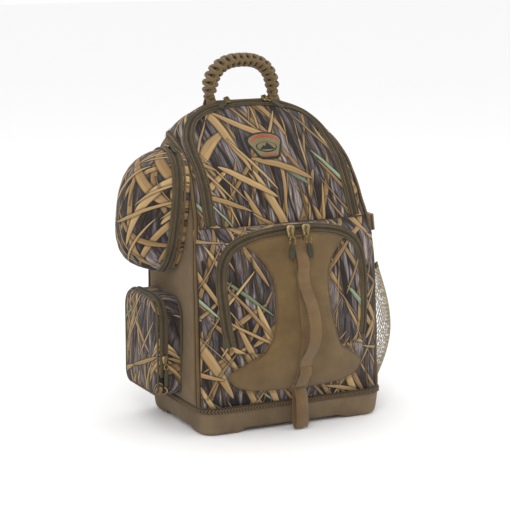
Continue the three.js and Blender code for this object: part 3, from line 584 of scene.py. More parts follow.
class Shape:
    """Vertices, faces and cloth coordinates gathered for one object."""

    def __init__(self):
        self.points, self.faces, self.uvs, self.count = [], [], [], 0

    def add(self, points, faces, uvs):
        self.faces += [tuple(i + self.count for i in face) for face in faces]
        self.points.append(np.asarray(points, float))
        self.uvs.append(np.asarray(uvs, float))
        self.count += len(points)
        return self


def grid_faces(rows, columns, wrap=False, flip=False):
    """Quads of a grid of points, row by row."""
    last = columns if wrap else columns - 1
    faces = []
    for i in range(rows - 1):
        for j in range(last):
            k = (j + 1) % columns
            face = (i * columns + j, i * columns + k, (i + 1) * columns + k, (i + 1) * columns + j)
            faces.append(face[::-1] if flip else face)
    return faces


def sweep(shape, path, normals, profile, closed=False, caps=True, uv_scale=1.0):
    """A closed profile of (across, out) points carried along a path."""
    path, normals, profile = (np.asarray(item, float) for item in (path, normals, profile))
    along = tangents(path, closed)
    side = unit(np.cross(along, normals))
    out = unit(np.cross(side, along))
    points = (path[:, None] + side[:, None] * profile[None, :, :1] + out[:, None] * profile[None, :, 1:])
    rows, columns = len(path), len(profile)
    faces = grid_faces(rows, columns, wrap=True)
    if closed:
        faces += [((rows - 1) * columns + j, (rows - 1) * columns + (j + 1) % columns,
                   (j + 1) % columns, j) for j in range(columns)]
    elif caps:
        faces.append(tuple(range(columns))[::-1])
        faces.append(tuple((rows - 1) * columns + j for j in range(columns)))
    walked = np.concatenate([[0], np.cumsum(np.linalg.norm(np.diff(path, axis=0), axis=1))])
    uv = np.stack(np.broadcast_arrays(walked[:, None], profile[None, :, 0] + profile[None, :, 1]), -1)
    return shape.add(points.reshape(-1, 3), faces, uv.reshape(-1, 2) * MM * uv_scale)


def round_profile(radius, steps=10, across=0.0, out=0.0, flat=1.0):
    angles = np.arange(steps) * 2 * math.pi / steps
    return np.stack([across + radius * np.cos(angles), out + radius * flat * np.sin(angles)], -1)


def band_profile(low, high, base, top, corner=0.4):
    """A flat band between two distances across, with rounded edges."""
    return np.array([
        (low, base), (high, base), (high + corner * 0.3, (base + top) / 2), (high, top - corner * 0.3),
        (high - corner, top), (low + corner, top), (low, top - corner * 0.3),
        (low - corner * 0.3, (base + top) / 2),
    ])


def make(shape, name, look, body, replaces=(), smooth=True, solid=0.0, bevel=0.0, ride=True):
    """Turns gathered geometry into an object that rides on a CAD body."""
    mesh = bpy.data.meshes.new(name)
    mesh.from_pydata(at(np.vstack(shape.points)).tolist(), [], shape.faces)
    layer = mesh.uv_layers.new(name="cloth")
    corner_vertices = np.zeros(len(mesh.loops), int)
    mesh.loops.foreach_get("vertex_index", corner_vertices)
    layer.data.foreach_set("uv", np.vstack(shape.uvs)[corner_vertices].astype(np.float32).ravel())
    mesh.polygons.foreach_set("use_smooth", [smooth] * len(mesh.polygons))
    mesh.materials.append(look)
    made = bpy.data.objects.new(name, mesh)
    bpy.context.scene.collection.objects.link(made)
    if solid:
        thick = made.modifiers.new("thickness", "SOLIDIFY")
        thick.thickness = solid * MM
        thick.offset = -1
    if bevel:
        edge = made.modifiers.new("edges", "BEVEL")
        edge.width = bevel * MM
        edge.segments = 2
    if ride:
        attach(made, body)
    if replaces:
        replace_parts(made, *replaces)
    return made


# ------------------------------------------------------------------ cloth panels
def inside(points, outline):
    """Which points lie inside a closed outline."""
    x, y = points[:, 0][:, None], points[:, 1][:, None]
    a, b = outline, np.roll(outline, -1, axis=0)
    crosses = (a[:, 1] > y) != (b[:, 1] > y)
    rise = b[:, 1] - a[:, 1]
    rise = np.where(np.abs(rise) < 1e-9, 1e-9, rise)
    meets = a[:, 0] + (y - a[:, 1]) * (b[:, 0] - a[:, 0]) / rise
    return (crosses & (x < meets)).sum(1) % 2 == 1


def edge_distance(points, outline):
    """Distance from each point to a closed outline."""
    a, b = outline, np.roll(outline, -1, axis=0)
    d = b - a
    t = ((points[:, None] - a) * d).sum(-1) / np.maximum((d * d).sum(-1), 1e-9)
    nearest = a + np.clip(t, 0, 1)[..., None] * d
    return np.linalg.norm(points[:, None] - nearest, axis=-1).min(1)


def folds(points, seed, scale=38.0, stretch=(1.0, 1.0, 1.0)):
    """Soft seeded unevenness from -1 to 1."""
    offset = Vector((seed * 7.1, seed * 3.3, seed * 1.7))
    stretched = points * np.array(stretch) / scale
    return np.array([noise.noise(Vector(p) + offset) for p in stretched])


def panel(name, outline, surface, look, body, slot, hole=None, out=0.0, puff=1.2, pinch=1.0, wrinkle=0.6,
          thick=1.8, spacing=4.0, sign=1.0, seed=1, uv_turn=0.0, uv_shift=(0.0, 0.0), replaces=(),
          stretch=(1.0, 1.0, 1.0), ride=True):
    """A sewn panel over a surface: it swells from its seams and is a little uneven."""
    rim = resample(outline, spacing, closed=True)
    loops = [rim]
    if hole is not None:
        loops.append(resample(hole, spacing, closed=True))
    low, high = rim.min(0), rim.max(0)
    us = np.arange(low[0], high[0], spacing)
    vs = np.arange(low[1], high[1], spacing * 0.87)
    u, v = np.meshgrid(us, vs)
    u = u + (np.arange(len(vs)) % 2)[:, None] * spacing / 2
    filling = np.stack([u.ravel(), v.ravel()], -1)
    keep = inside(filling, rim)
    filling = filling[keep]
    for loop in loops:
        filling = filling[edge_distance(filling, loop) > spacing * 0.55]
    if hole is not None:
        filling = filling[~inside(filling, loops[1])]
    edges, start = [], 0
    for loop in loops:
        edges += [(start + i, start + (i + 1) % len(loop)) for i in range(len(loop))]
        start += len(loop)
    every = np.vstack([*loops, filling])
    made = geometry.delaunay_2d_cdt([Vector(p) for p in every], edges, [], 0, 1e-6)
    flat = np.array([tuple(p) for p in made[0]])
    triangles = np.array([tuple(face) for face in made[2] if len(face) == 3])
    middles = flat[triangles].mean(1)
    wanted = inside(middles, rim)
    if hole is not None:
        wanted &= ~inside(middles, loops[1])
    triangles = triangles[wanted]
    distance = np.minimum.reduce([edge_distance(flat, loop) for loop in loops])
    place = surface(flat[:, 0], flat[:, 1])
    normal = normals_of(surface, flat[:, 0], flat[:, 1], sign)
    lift = out + puff * (1 - np.exp(-distance / 14)) - pinch * np.exp(-distance / 3.0)
    lift = lift + wrinkle * (1 - np.exp(-distance / 9)) * (
        folds(place, seed, 46.0, stretch) + 0.5 * folds(place, seed + 5, 19.0, stretch))
    if sign < 0:
        triangles = triangles[:, ::-1]
    turn = math.radians(uv_turn)
    uv = np.stack([
        flat[:, 0] * math.cos(turn) - flat[:, 1] * math.sin(turn) + uv_shift[0],
        flat[:, 0] * math.sin(turn) + flat[:, 1] * math.cos(turn) + uv_shift[1],
    ], -1) * MM
    shape = Shape().add(place + normal * lift[:, None], [tuple(face) for face in triangles], uv)
    return make(shape, name, look, body, replaces, solid=thick, ride=ride)


def on_surface(path, surface, step=2.0, out=0.0, sign=1.0, closed=False):
    """Points and normals along a path drawn on a surface."""
    path = smooth_path(path, step, closed)
    normal = normals_of(surface, path[:, 0], path[:, 1], sign)
    return surface(path[:, 0], path[:, 1]) + normal * out, normal


def spaced(points, normals, step):
    """Points, normals and tangents at even steps along a line of points."""
    lengths = np.linalg.norm(np.diff(points, axis=0), axis=1)
    walked = np.concatenate([[0], np.cumsum(lengths)])
    places = np.arange(step / 2, walked[-1], step)
    place = np.stack([np.interp(places, walked, points[:, k]) for k in range(3)], -1)
    normal = unit(np.stack([np.interp(places, walked, normals[:, k]) for k in range(3)], -1))
    along = tangents(points)
    along = unit(np.stack([np.interp(places, walked, along[:, k]) for k in range(3)], -1))
    return place, normal, along


def bevelled_block(length, width, height, bevel, segments=1):
    """Vertices and faces of a block with rounded edges, lying along X, its middle at zero."""
    mesh = bmesh.new()
    bmesh.ops.create_cube(mesh, size=1.0, matrix=Matrix.Diagonal((length, width, height, 1)))
    bmesh.ops.bevel(mesh, geom=list(mesh.edges), offset=bevel, segments=segments, affect="EDGES")
    mesh.verts.index_update()
    points = np.array([tuple(v.co) for v in mesh.verts])
    faces = [tuple(v.index for v in face.verts) for face in mesh.faces]
    mesh.free()
    return points, faces


STITCH = bevelled_block(2.6, 0.8, 0.55, 0.22)
TOOTH = bevelled_block(0.95, 2.5, 1.1, 0.3)


def stamp(shape, template, place, along, normal):
    """Copies of a template at places, its X along the line and its Z along the normal."""
    points, faces = template
    side = unit(np.cross(normal, along))
    out = unit(np.cross(along, side))
    for p, a, s, n in zip(place, along, side, out):
        moved = p + points[:, :1] * a + points[:, 1:2] * s + points[:, 2:] * n
        shape.add(moved, faces, points[:, :2] * MM)


def stitch_line(shape, points, normals, across=0.0, out=0.3, step=3.6):
    """A row of stitches beside a line."""
    place, normal, along = spaced(points, normals, step)
    side = unit(np.cross(along, normal))
    stamp(shape, STITCH, place + side * across + normal * out, along, normal)


def mirrored(half):
    """A right-hand line and its mirror image, as one line from right to left."""
    half = np.asarray(half, float)
    return np.vstack([half, half[::-1] * np.array([-1, 1])])


def dress_node(name, look, bevel=0.0):
    """Gives a CAD node that stays its material, and rounds its edges."""
    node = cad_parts[name]
    node.data.materials.clear()
    node.data.materials.append(look)
    if bevel:
        edge = node.modifiers.new("edges", "BEVEL")
        edge.width = bevel * MM
        edge.segments = 2
        edge.limit_method = "ANGLE"


# ------------------------------------------------------------------ body panels
def edge_line(sign=1):
    """The side piping's line as ring distance and height."""
    edge = smooth_path(np.array(SIDE_EDGE, float), 5.0)
    return np.stack([sign * u_of_y(edge[:, 0], edge[:, 1]), edge[:, 1]], -1)


def rear_line(low, high, sign=1):
    """The back seam's line between two heights."""
    z = np.linspace(low, high, max(int((high - low) / 5), 2))
    y = np.minimum(BACK_SEAM, curve_at(BODY, z, 3) - 0.5)
    return np.stack([sign * u_of_y(y, z), z], -1)


ZIP_LINE = mirrored(MAIN_ZIP)
ZIP_LINE[:, 0] = u_of_x(ZIP_LINE[:, 0], ZIP_LINE[:, 1])
SWELL_MAIN = dict(puff=2.6, pinch=1.6, wrinkle=1.5)

flap_foot = np.array([[ZIP_LINE[0, 0], MAIN_SEAM]])
flap_outline = np.vstack([flap_foot, ZIP_LINE, flap_foot * np.array([-1, 1])])
main_flap = panel("main_flap_cloth", flap_outline, body_point, CAMO, "main_flap", "camo_fabric", seed=3,
                  uv_shift=(40, 20), replaces=["main_flap"], ride=False, **SWELL_MAIN)
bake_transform(main_flap)

right_edge = edge_line()
right_edge = right_edge[right_edge[:, 1] >= MAIN_SEAM]
right_back = rear_line(444, 490)
half_outline = np.vstack([right_edge, right_back])
left_outline = half_outline[::-1] * np.array([-1, 1])
gusset_outline = np.vstack([
    flap_foot, half_outline, left_outline, flap_foot * np.array([-1, 1]), ZIP_LINE[::-1],
])
panel("upper_gusset_cloth", gusset_outline, body_point, CAMO, "pack", "camo_fabric", seed=4, uv_turn=6,
      uv_shift=(300, 90), puff=1.6, pinch=1.4, wrinkle=0.9, replaces=["upper_gusset"])

for word, sign in (("right", 1), ("left", -1)):
    front = edge_line(sign)
    outline = np.vstack([front, rear_line(WALL_FOOT, 440, sign)[::-1]])
    panel(f"side_panel_{word}_cloth", outline, body_point, CANVAS, "pack", "brown_canvas", seed=6 + sign,
          puff=1.5, pinch=1.0, wrinkle=1.6, spacing=5.0, stretch=(1, 1, 0.45),
          replaces=[f"side_panel_{word}"])
    points, normals = on_surface(front, body_point, 3.0, 0.6)
    cord = sweep(Shape(), points, normals, round_profile(2.5, 10, out=0.4))
    make(cord, f"side_piping_{word}", PIPING, "pack")
    # A dark band a little wider than the cord, showing on both sides of it: painted shade in the crease
    # where the panels meet the piping.
    crease_shade = sweep(Shape(), points, normals, band_profile(-3.9, 3.9, -0.6, 0.8))
    make(crease_shade, f"side_piping_seam_{word}", BINDING, "pack")
    seam = Shape()
    stitch_line(seam, points, normals, -5.6 * sign, 1.2)
    stitch_line(seam, points, normals, 5.6 * sign, 1.2)
    make(seam, f"side_piping_stitches_{word}", BROWN_THREAD, "pack")


def back_point(x, z):
    """The back wall, with its corners rounded towards the flanks."""
    half, rear, radius = curve_at(BODY, z, 1), curve_at(BODY, z, 3), curve_at(BODY, z, 4)
    past = np.clip(np.abs(x) - half + radius, 0, radius)
    return np.stack([x + 0 * z, rear - radius + np.sqrt(np.maximum(radius**2 - past**2, 0)), z + 0 * x], -1)


heights = np.array([WALL_FOOT, 140, 240, 300, 342, 382, 422, 437, 450, 462, 472, 480, 486, 490], float)
back_half = np.stack([curve_at(BODY, heights, 1) - 1.0, heights], -1)
back_outline = np.vstack([back_half, back_half[::-1] * np.array([-1, 1])])
panel("back_wall_cloth", back_outline, back_point, CANVAS, "pack", "brown_canvas", sign=-1, seed=9,
      puff=0.6,
      pinch=0.4, wrinkle=0.5, spacing=6.0, replaces=["back_wall"])
rim = np.vstack([rear_line(WALL_FOOT, 488), rear_line(WALL_FOOT, 488, -1)[::-1]])
rim_points = body_point(rim[:, 0], rim[:, 1])
rim_normals = normals_of(body_point, rim[:, 0], rim[:, 1])
make(sweep(Shape(), rim_points, rim_normals, round_profile(2.6, 10)), "back_seam_piping", PIPING, "pack")


# ------------------------------------------------------------------ zippers
def zipper(line, surface, name, fixed, moving, width=8.8, blend=None, sign=1.0,
           replaces=()):
    """Both halves of a coil zipper along a line: tapes, folded edges, coils and stitches."""
    points, normals = on_surface(line, surface, 2.0, 0.4, sign)
    place, normal, along = spaced(points, normals, 1.45)
    side = unit(np.cross(along, normal))
    for word, body, way in (("fixed", fixed, 1), ("moving", moving, -1)):
        near, far = sorted((0.5 * way, width * way))
        tape = sweep(Shape(), points, normals, band_profile(near, far, -0.4, 0.5))
        sweep(tape, points, normals, round_profile(1.7, 10, across=way * 4.1, out=1.2))
        sweep(tape, points, normals, round_profile(1.3, 10, across=way * (width - 0.7), out=0.9))
        teeth = Shape()
        half = slice(0 if way > 0 else 1, None, 2)
        stamp(teeth, TOOTH, place[half] + side[half] * way * 0.8 + normal[half] * 0.3, along[half],
              normal[half])
        sweep(teeth, points, normals, band_profile(*sorted((way * 0.1, way * 2.6)), -0.5, 0.25, 0.2))
        seam = Shape()
        stitch_line(seam, points, normals, way * 6.2, 0.5)
        for shape, part, look in ((tape, "tape", TAPE), (teeth, "coil", COIL),
                                  (seam, "seam", BROWN_THREAD)):
            moves = body == moving and blend is not None
            made = make(shape, f"{name}_{word}_{part}", look, body, ride=not moves,
                        replaces=[f"{name}_{word}"] if part == "tape" else ())
            if moves:
                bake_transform(made)


MAIN_BLEND = ("pack", "main_flap", at((0, -66.5, 312)), at((0, -66.5, 336)))
zipper(ZIP_LINE, body_point, "main_zip", "pack", "main_flap", blend=MAIN_BLEND)


# ------------------------------------------------------------------ front pocket
FRONT_LINE = mirrored(FRONT_ZIP)
FRONT_BLEND = ("pack", "front_flap", at((0, -130, 128)), at((0, -130, 184)))
across = np.linspace(-POCKET_EDGE, POCKET_EDGE, 61)
crease, _, _, shelf = pocket_shelf(across)
pocket_top = np.stack([across, crease - CREASE_START + shelf], -1)[::-1]
pocket_outline = np.vstack([[(-POCKET_EDGE, WALL_FOOT), (POCKET_EDGE, WALL_FOOT)], pocket_top])
panel("front_pocket_cloth", pocket_outline, pocket_point, CAMO, "pack", "camo_fabric", hole=FRONT_LINE,
      seed=11, uv_turn=-4, uv_shift=(620, 250), puff=1.6, pinch=1.5, wrinkle=1.3,
      replaces=["front_pocket_gusset"])
front_flap = panel("front_flap_cloth", FRONT_LINE, pocket_point, CAMO, "front_flap", "camo_fabric", seed=12,
                   uv_turn=3, uv_shift=(910, 40), puff=2.2, pinch=1.5, wrinkle=1.2,
                   replaces=["front_pocket_flap"], ride=False)
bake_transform(front_flap)
zipper(FRONT_LINE[1:-1], pocket_point, "front_zip", "pack", "front_flap", width=8.0, blend=FRONT_BLEND)

overlay_line = mirrored(OVERLAY)
overlay = panel("front_overlay", overlay_line, pocket_point, CANVAS, "front_flap", "brown_canvas", seed=13,
                out=3.7, puff=0.9, pinch=0.7, wrinkle=0.8, thick=2.4, uv_turn=2,
                replaces=["overlay_upper", "overlay_lower"], ride=False)
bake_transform(overlay)
points, normals = on_surface(np.array(overlay_line), pocket_point, 2.0, 3.0, closed=True, sign=1.0)
edge_cord = sweep(Shape(), points, normals, round_profile(1.1, 8), closed=True)
made = make(edge_cord, "front_overlay_edge", PIPING, "front_flap", ride=False)
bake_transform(made)
seam = Shape()
stitch_line(seam, points, normals, 3.2, 1.1)
stitch_line(seam, points, normals, 5.2, 1.2)
made = make(seam, "front_overlay_stitches", BROWN_THREAD, "front_flap", ride=False)
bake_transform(made)

# Centre webbing: a base strip, and the gear strap that stands off it between its stitched boxes.
STRIP_HALF = 10
WEB_THICK = 1.6
GEAR_STRAP = [
    (-112.0, 300), (-114.6, 292), (-116.6, 285), (-125, 273), (-130.5, 262), (-130, 252), (-127.6, 246),
    (-129.6, 238), (-132.4, 229), (-142, 219), (-154, 206), (-165, 190), (-170, 171), (-169.5, 152),
    (-161, 136), (-150, 124), (-141.6, 116), (-138, 108), (-136.4, 102),
]


def flat_strap(path_yz, x, half_width, thick=WEB_THICK, shape=None, step=2.0):
    """A flat strap across X that follows a path of (y, z), with rounded selvedges."""
    line = smooth_path(np.array(path_yz, float), step)
    points = np.column_stack([np.full(len(line), x), line])
    along = tangents(points)
    normals = unit(np.cross(along, np.array([1.0, 0, 0])))
    profile = band_profile(-half_width, half_width, -thick / 2, thick / 2, 0.6)
    return sweep(shape or Shape(), points, normals, profile), points, normals


strip_line = np.stack([np.zeros(40), np.linspace(72, 302, 40)], -1)
points, normals = on_surface(strip_line, pocket_point, 3.0, 5.2)
strip = sweep(Shape(), points, normals, band_profile(-STRIP_HALF, STRIP_HALF, -0.8, 0.8, 0.6))
made = make(strip, "centre_strip", WEBBING, "front_flap", ride=False,
            replaces=["web_strip_upper", "web_strip_lower"])
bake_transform(made)
strap, _, _ = flat_strap(GEAR_STRAP, 0, STRIP_HALF - 0.3)
made = make(strap, "gear_strap", WEBBING, "front_flap", ride=False, replaces=["loose_strap"])
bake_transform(made)
tail = [(-136.4, 103), (-138.4, 97), (-136.5, 90), (-129.5, 82), (-124.5, 74), (-122, 69)]
strap, _, _ = flat_strap([(y - 0.6, z) for y, z in tail], 0, STRIP_HALF - 0.3)
make(strap, "gear_strap_tail", WEBBING, "pack")

boxes = Shape()
strip_points, strip_normals = on_surface(strip_line, pocket_point, 1.0, 7.2)
for low, high in ((286, 300), (229, 246), (101, 116)):
    chosen = (strip_points[:, 2] > low) & (strip_points[:, 2] < high)
    for offset in (-7.6, -6.6, 6.6, 7.6):
        stitch_line(boxes, strip_points[chosen], strip_normals[chosen], offset, 0.9, 2.9)
    for z in (low + 1, low + 3, (low + high) / 2, high - 3, high - 1):
        i = int(np.argmin(np.abs(strip_points[:, 2] - z)))
        row = strip_points[i] + np.linspace(-7, 7, 8)[:, None] * np.array([1.0, 0, 0])
        stitch_line(boxes, row, np.repeat(strip_normals[i][None], 8, 0), 0, 0.9, 2.9)
made = make(boxes, "centre_strap_stitches", BINDING, "front_flap", ride=False)
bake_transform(made)

tack = Shape()
low_points, low_normals = on_surface(np.array([(-14, 71), (14, 71)], float), pocket_point, 1.0, 5.4)
sweep(tack, low_points, low_normals, band_profile(-5.5, 5.5, -2.0, 1.2, 0.9))
make(tack, "strap_foot_patch", CANVAS, "pack")
LOOP_PATH = [
    (-113.2, 64), (-112.8, 50), (-112.4, 30), (-113.4, 14), (-116.5, 5), (-121, 2.6), (-126, 5),
    (-128.2, 14), (-127.4, 34), (-125, 50), (-121, 60), (-116.4, 65.6),
]
loop, _, _ = flat_strap(LOOP_PATH, 0, 10.2)
make(loop, "bottom_loop", WEBBING, "web_loop", replaces=["bottom_web_loop"])


# ------------------------------------------------------------------ moulded base and its binding
TUB_HALF_WIDTH = 158
TUB_FRONT = -104
TUB_REAR = 107
TUB_CORNER = 26
TUB_RIM = 35
TUB_FLOOR = 10
FOOT_HEIGHT = 5.5
FOOT_EDGE_X = (84, 93)
FOOT_EDGE_Y = (46, 51)


def rounded_ring(half_x, low_y, high_y, radius, steps=16, straight=24):
    """A rectangle with round corners, counterclockwise, evenly stepped."""
    centres = [(half_x - radius, low_y + radius, -90), (half_x - radius, high_y - radius, 0),
               (-half_x + radius, high_y - radius, 90), (-half_x + radius, low_y + radius, 180)]
    points = []
    for x, y, start in centres:
        angles = np.radians(np.linspace(start, start + 90, steps))
        points.append(np.stack([x + radius * np.cos(angles), y + radius * np.sin(angles)], -1))
    ring = np.vstack(points)
    return resample(ring, np.linalg.norm(np.diff(np.vstack([ring, ring[:1]]), axis=0), axis=1).sum()
                    / (4 * straight), closed=True)


def smoothstep(low, high, value):
    t = np.clip((value - low) / (high - low), 0, 1)
    return t * t * (3 - 2 * t)


def tub_rows():
    """The tub's sections from its floor's inside, over the rim, and under to its middle."""
    outer = [(TUB_RIM + 0.6, 1.6), (TUB_RIM, 0.2), (33.5, 0.6), (32.2, 0.2), (28, 0.5), (14, 2.0), (8, 3.0),
             (4.5, 4.4), (2.0, 6.2), (0.6, 9.0), (0, 12.5), (0, 40), (0, 70), (0, 100)]
    inner = [(TUB_FLOOR, 100), (TUB_FLOOR, 40), (TUB_FLOOR + 0.6, 8), (14, 4.8), (TUB_RIM, 3.2)]
    return inner + outer


shape = Shape()
rows = []
for z, inset in tub_rows():
    ring = rounded_ring(TUB_HALF_WIDTH - inset, TUB_FRONT + inset, TUB_REAR - inset,
                        max(TUB_CORNER - inset / 2, 2))
    lift_x = 1 - smoothstep(*FOOT_EDGE_X, np.abs(ring[:, 0]))
    lift_y = 1 - smoothstep(*FOOT_EDGE_Y, np.abs(ring[:, 1]))
    lift = np.maximum(lift_x, lift_y) * FOOT_HEIGHT if z < TUB_FLOOR - 1 else 0 * ring[:, 0]
    rows.append(np.column_stack([ring, z + lift * (1 - z / (TUB_FLOOR + 2))]))
columns = len(rows[0])
faces = grid_faces(len(rows), columns, wrap=True, flip=True)
faces += [tuple(range(columns)), tuple((len(rows) - 1) * columns + j for j in range(columns))[::-1]]
every = np.vstack(rows)
shape.add(every, faces, every[:, :2] * MM)
make(shape, "base_tub_shell", BASE, "pack", replaces=["base_tub"])

BINDING_HEIGHT = 39.8
BINDING_HALF = 5.2                # half its height
BINDING_BULGE = 3.5               # how far it stands out from its own middle
ring = rounded_ring(TUB_HALF_WIDTH - 1.4, TUB_FRONT + 1.4, TUB_REAR - 1.4, TUB_CORNER - 1)
ring_points = np.column_stack([ring, np.full(len(ring), BINDING_HEIGHT)])
outward = np.roll(ring_points, -1, axis=0) - np.roll(ring_points, 1, axis=0)
outward = unit(np.cross(outward, np.array([0, 0, 1.0])))
binding = sweep(Shape(), ring_points, outward,
                round_profile(BINDING_HALF, 14, flat=BINDING_BULGE / BINDING_HALF),
                closed=True)
make(binding, "base_binding", BINDING, "pack", replaces=["base_welt"])
closed_points = np.vstack([ring_points, ring_points[:1]])
closed_normals = np.vstack([outward, outward[:1]])
rope = Shape()
up = np.array([0, 0, 1.0])
for rise, lean in ((1.7, 0.8), (-1.7, -0.8)):
    place, normal, along = spaced(closed_points, closed_normals, 5.0)
    place = place + normal * BINDING_BULGE + up * rise
    stamp(rope, bevelled_block(5.2, 1.7, 1.3, 0.45), place, unit(along + up * lean), normal)
make(rope, "base_binding_rope", BROWN_THREAD, "pack")


# ------------------------------------------------------------------ left side hard case
CASE_CENTRE = np.array([-147.3, 20, 333])
CASE_LEAN = math.radians(6)
CASE_HALF_Y = 56
CASE_HALF_Z = 93
CASE_SPLIT = 20
OVAL_POWER = 2.5
CASE_DOME = [(21, 1.0), (26, 1.002), (34, 0.99), (44, 0.962), (54, 0.92), (64, 0.86), (72, 0.785),
             (79, 0.68),
             (84, 0.555), (87.5, 0.40), (89, 0.2), (89.4, 0.02)]
CASE_DROOP = 9                    # how far the dome's outermost point hangs below its rim's middle


def case_at(points):
    """Case coordinates, X out of the pack negative, to pack millimetres."""
    points = np.asarray(points, float)
    x, y, z = points[..., 0], points[..., 1], points[..., 2]
    c, s = math.cos(CASE_LEAN), math.sin(CASE_LEAN)
    return np.stack([x * c + z * s, y, -x * s + z * c], -1) + CASE_CENTRE


def oval(angles, share=1.0, out=0.0):
    """The case's outline as (y, z) at these angles."""
    def squircle(value):
        return np.sign(value) * np.abs(value) ** (2 / OVAL_POWER)
    return ((CASE_HALF_Y * share + out) * squircle(np.cos(angles)),
            (CASE_HALF_Z * share + out) * squircle(np.sin(angles)))


def ring_loft(rows, place, columns=96, caps=True):
    """A loft through rows of (x, share, out) of the oval, with its cloth coordinates."""
    angles = np.linspace(0, 2 * math.pi, columns, endpoint=False)
    points, uvs = [], []
    for x, share, out in rows:
        y, z = oval(angles, share, out)
        hang = CASE_DROOP * (max(-x - CASE_SPLIT, 0) / (CASE_DOME[-1][0] - CASE_SPLIT)) ** 1.6
        points.append(np.stack([np.full(columns, x, float), y, z - hang], -1))
        reach = 1 + (CASE_SPLIT + 40 + x) / 160
        uvs.append(np.stack([y * reach, z * reach], -1) * MM)
    flat = place(np.vstack(points))
    faces = grid_faces(len(rows), columns, wrap=True)
    if caps:
        faces += [tuple(range(columns))[::-1], tuple((len(rows) - 1) * columns + j for j in range(columns))]
    return flat, faces, np.vstack(uvs)


def dome_rows(shift=0.0):
    return [(-depth - 0.2, share, shift) for depth, share in CASE_DOME]


shape = Shape().add(*ring_loft(
    [(-2.5, 0.95, -2.4), (-CASE_SPLIT, 1, -2.4), (-CASE_SPLIT, 1, -0.4), (-CASE_SPLIT + 2, 1, 0.4),
     (-10, 1.0, 0.6), (-3, 0.985, 0.2), (-0.8, 0.96, 0), (-0.6, 0.5, 0)], case_at))
shape.faces = [face[::-1] for face in shape.faces]
make(shape, "case_back_cloth", CAMO, "pack", replaces=["case_back_shell"])
lid_inside = [(-depth + 2.4, share * 0.985, -1.6) for depth, share in reversed(CASE_DOME[:-1])]
lid_inside[-1] = (-CASE_SPLIT - 1.2, 1.0, -2.2)
shape = Shape().add(*ring_loft(lid_inside + dome_rows(0.3), case_at))
make(shape, "case_lid_cloth", CAMO, "case_lid", replaces=["case_lid"])


def case_line(depth, out, low, high, share=1.0):
    """Points and outward normals round the case at a depth, between two angles."""
    angles = np.linspace(low, high, 120)
    y, z = oval(angles, share, out)
    points = np.stack([np.full(len(angles), -depth), y, z], -1)
    along = tangents(points)
    normal = unit(np.cross(along, np.array([-1.0, 0, 0])))
    if (normal[:, 1] * y + normal[:, 2] * z).sum() < 0:
        normal = -normal
    place = case_at(points)
    return place, case_at(points + normal) - place


def zipper_band(name, line, fixed, moving, width=6.0, split=0.0, close=False):
    """A zipper whose line runs round a rim: the tapes lie side by side across the rim."""
    points, normals = line
    place, normal, along = spaced(points, normals, 1.45)
    side = unit(np.cross(along, normal))
    for word, body, way in (("fixed", fixed, -1), ("moving", moving, 1)):
        near, far = sorted((0.45 * way, width * way))
        tape = sweep(Shape(), points, normals, band_profile(near, far, -0.6, 0.5), closed=close)
        sweep(tape, points, normals, round_profile(1.5, 10, across=way * 3.8, out=1.1), closed=close)
        sweep(tape, points, normals, round_profile(1.1, 10, across=way * (width - 0.3), out=0.7),
              closed=close)
        teeth = Shape()
        half = slice(0 if way > 0 else 1, None, 2)
        stamp(teeth, TOOTH, place[half] + side[half] * way * 0.8 + normal[half] * 0.3, along[half],
              normal[half])
        sweep(teeth, points, normals, band_profile(*sorted((way * 0.1, way * 2.4)), -0.5, 0.25, 0.2),
              closed=close)
        make(tape, f"{name}_{word}_tape", TAPE, body, replaces=[f"{name}_{word}"])
        make(teeth, f"{name}_{word}_coil", COIL, body)


zipper_band("case_zip", case_line(CASE_SPLIT + 0.5, 1.0, 0.65, 2 * math.pi - 0.65), "pack", "case_lid")
for word, depth, body in (("rim", CASE_SPLIT + 9.5, "case_lid"), ("foot", CASE_SPLIT - 9.5, "pack")):
    points, normals = case_line(depth, 1.2, 0, 2 * math.pi * 119 / 120)
    make(sweep(Shape(), points, normals, round_profile(1.9, 10), closed=True), f"case_{word}_piping",
         PIPING if word == "foot" else TAPE, body)


# ------------------------------------------------------------------ left side accessory pocket
POUCH_FRONT = -31
POUCH_REAR = 98
POUCH_BOTTOM = 52
POUCH_TOP = 204
POUCH_DEPTH = 31
POUCH_RADII = (18, 32)
POUCH_BACK = -POCKET_HALF_WIDTH - 0.6
POUCH_RIM = POUCH_BACK - POUCH_DEPTH


def pouch_outline(inset=0.0, step=3.0):
    """The pocket's outline as (y, z), from its lower rear corner round the top to its lower front."""
    low, high = POUCH_BOTTOM + inset, POUCH_TOP - inset
    front, rear = POUCH_FRONT + inset, POUCH_REAR - inset
    small, large = (max(radius - inset, 3) for radius in POUCH_RADII)
    points = []
    for cy, cz, radius, start in ((rear - small, low + small, small, -90),
                                  (rear - large, high - large, large, 0),
                                  (front + large, high - large, large, 90),
                                  (front + small, low + small, small, 180)):
        angles = np.radians(np.linspace(start, start + 90, 13))
        points.append(np.stack([cy + radius * np.cos(angles), cz + radius * np.sin(angles)], -1))
    ring = np.vstack(points)
    return resample(ring, step, closed=True)


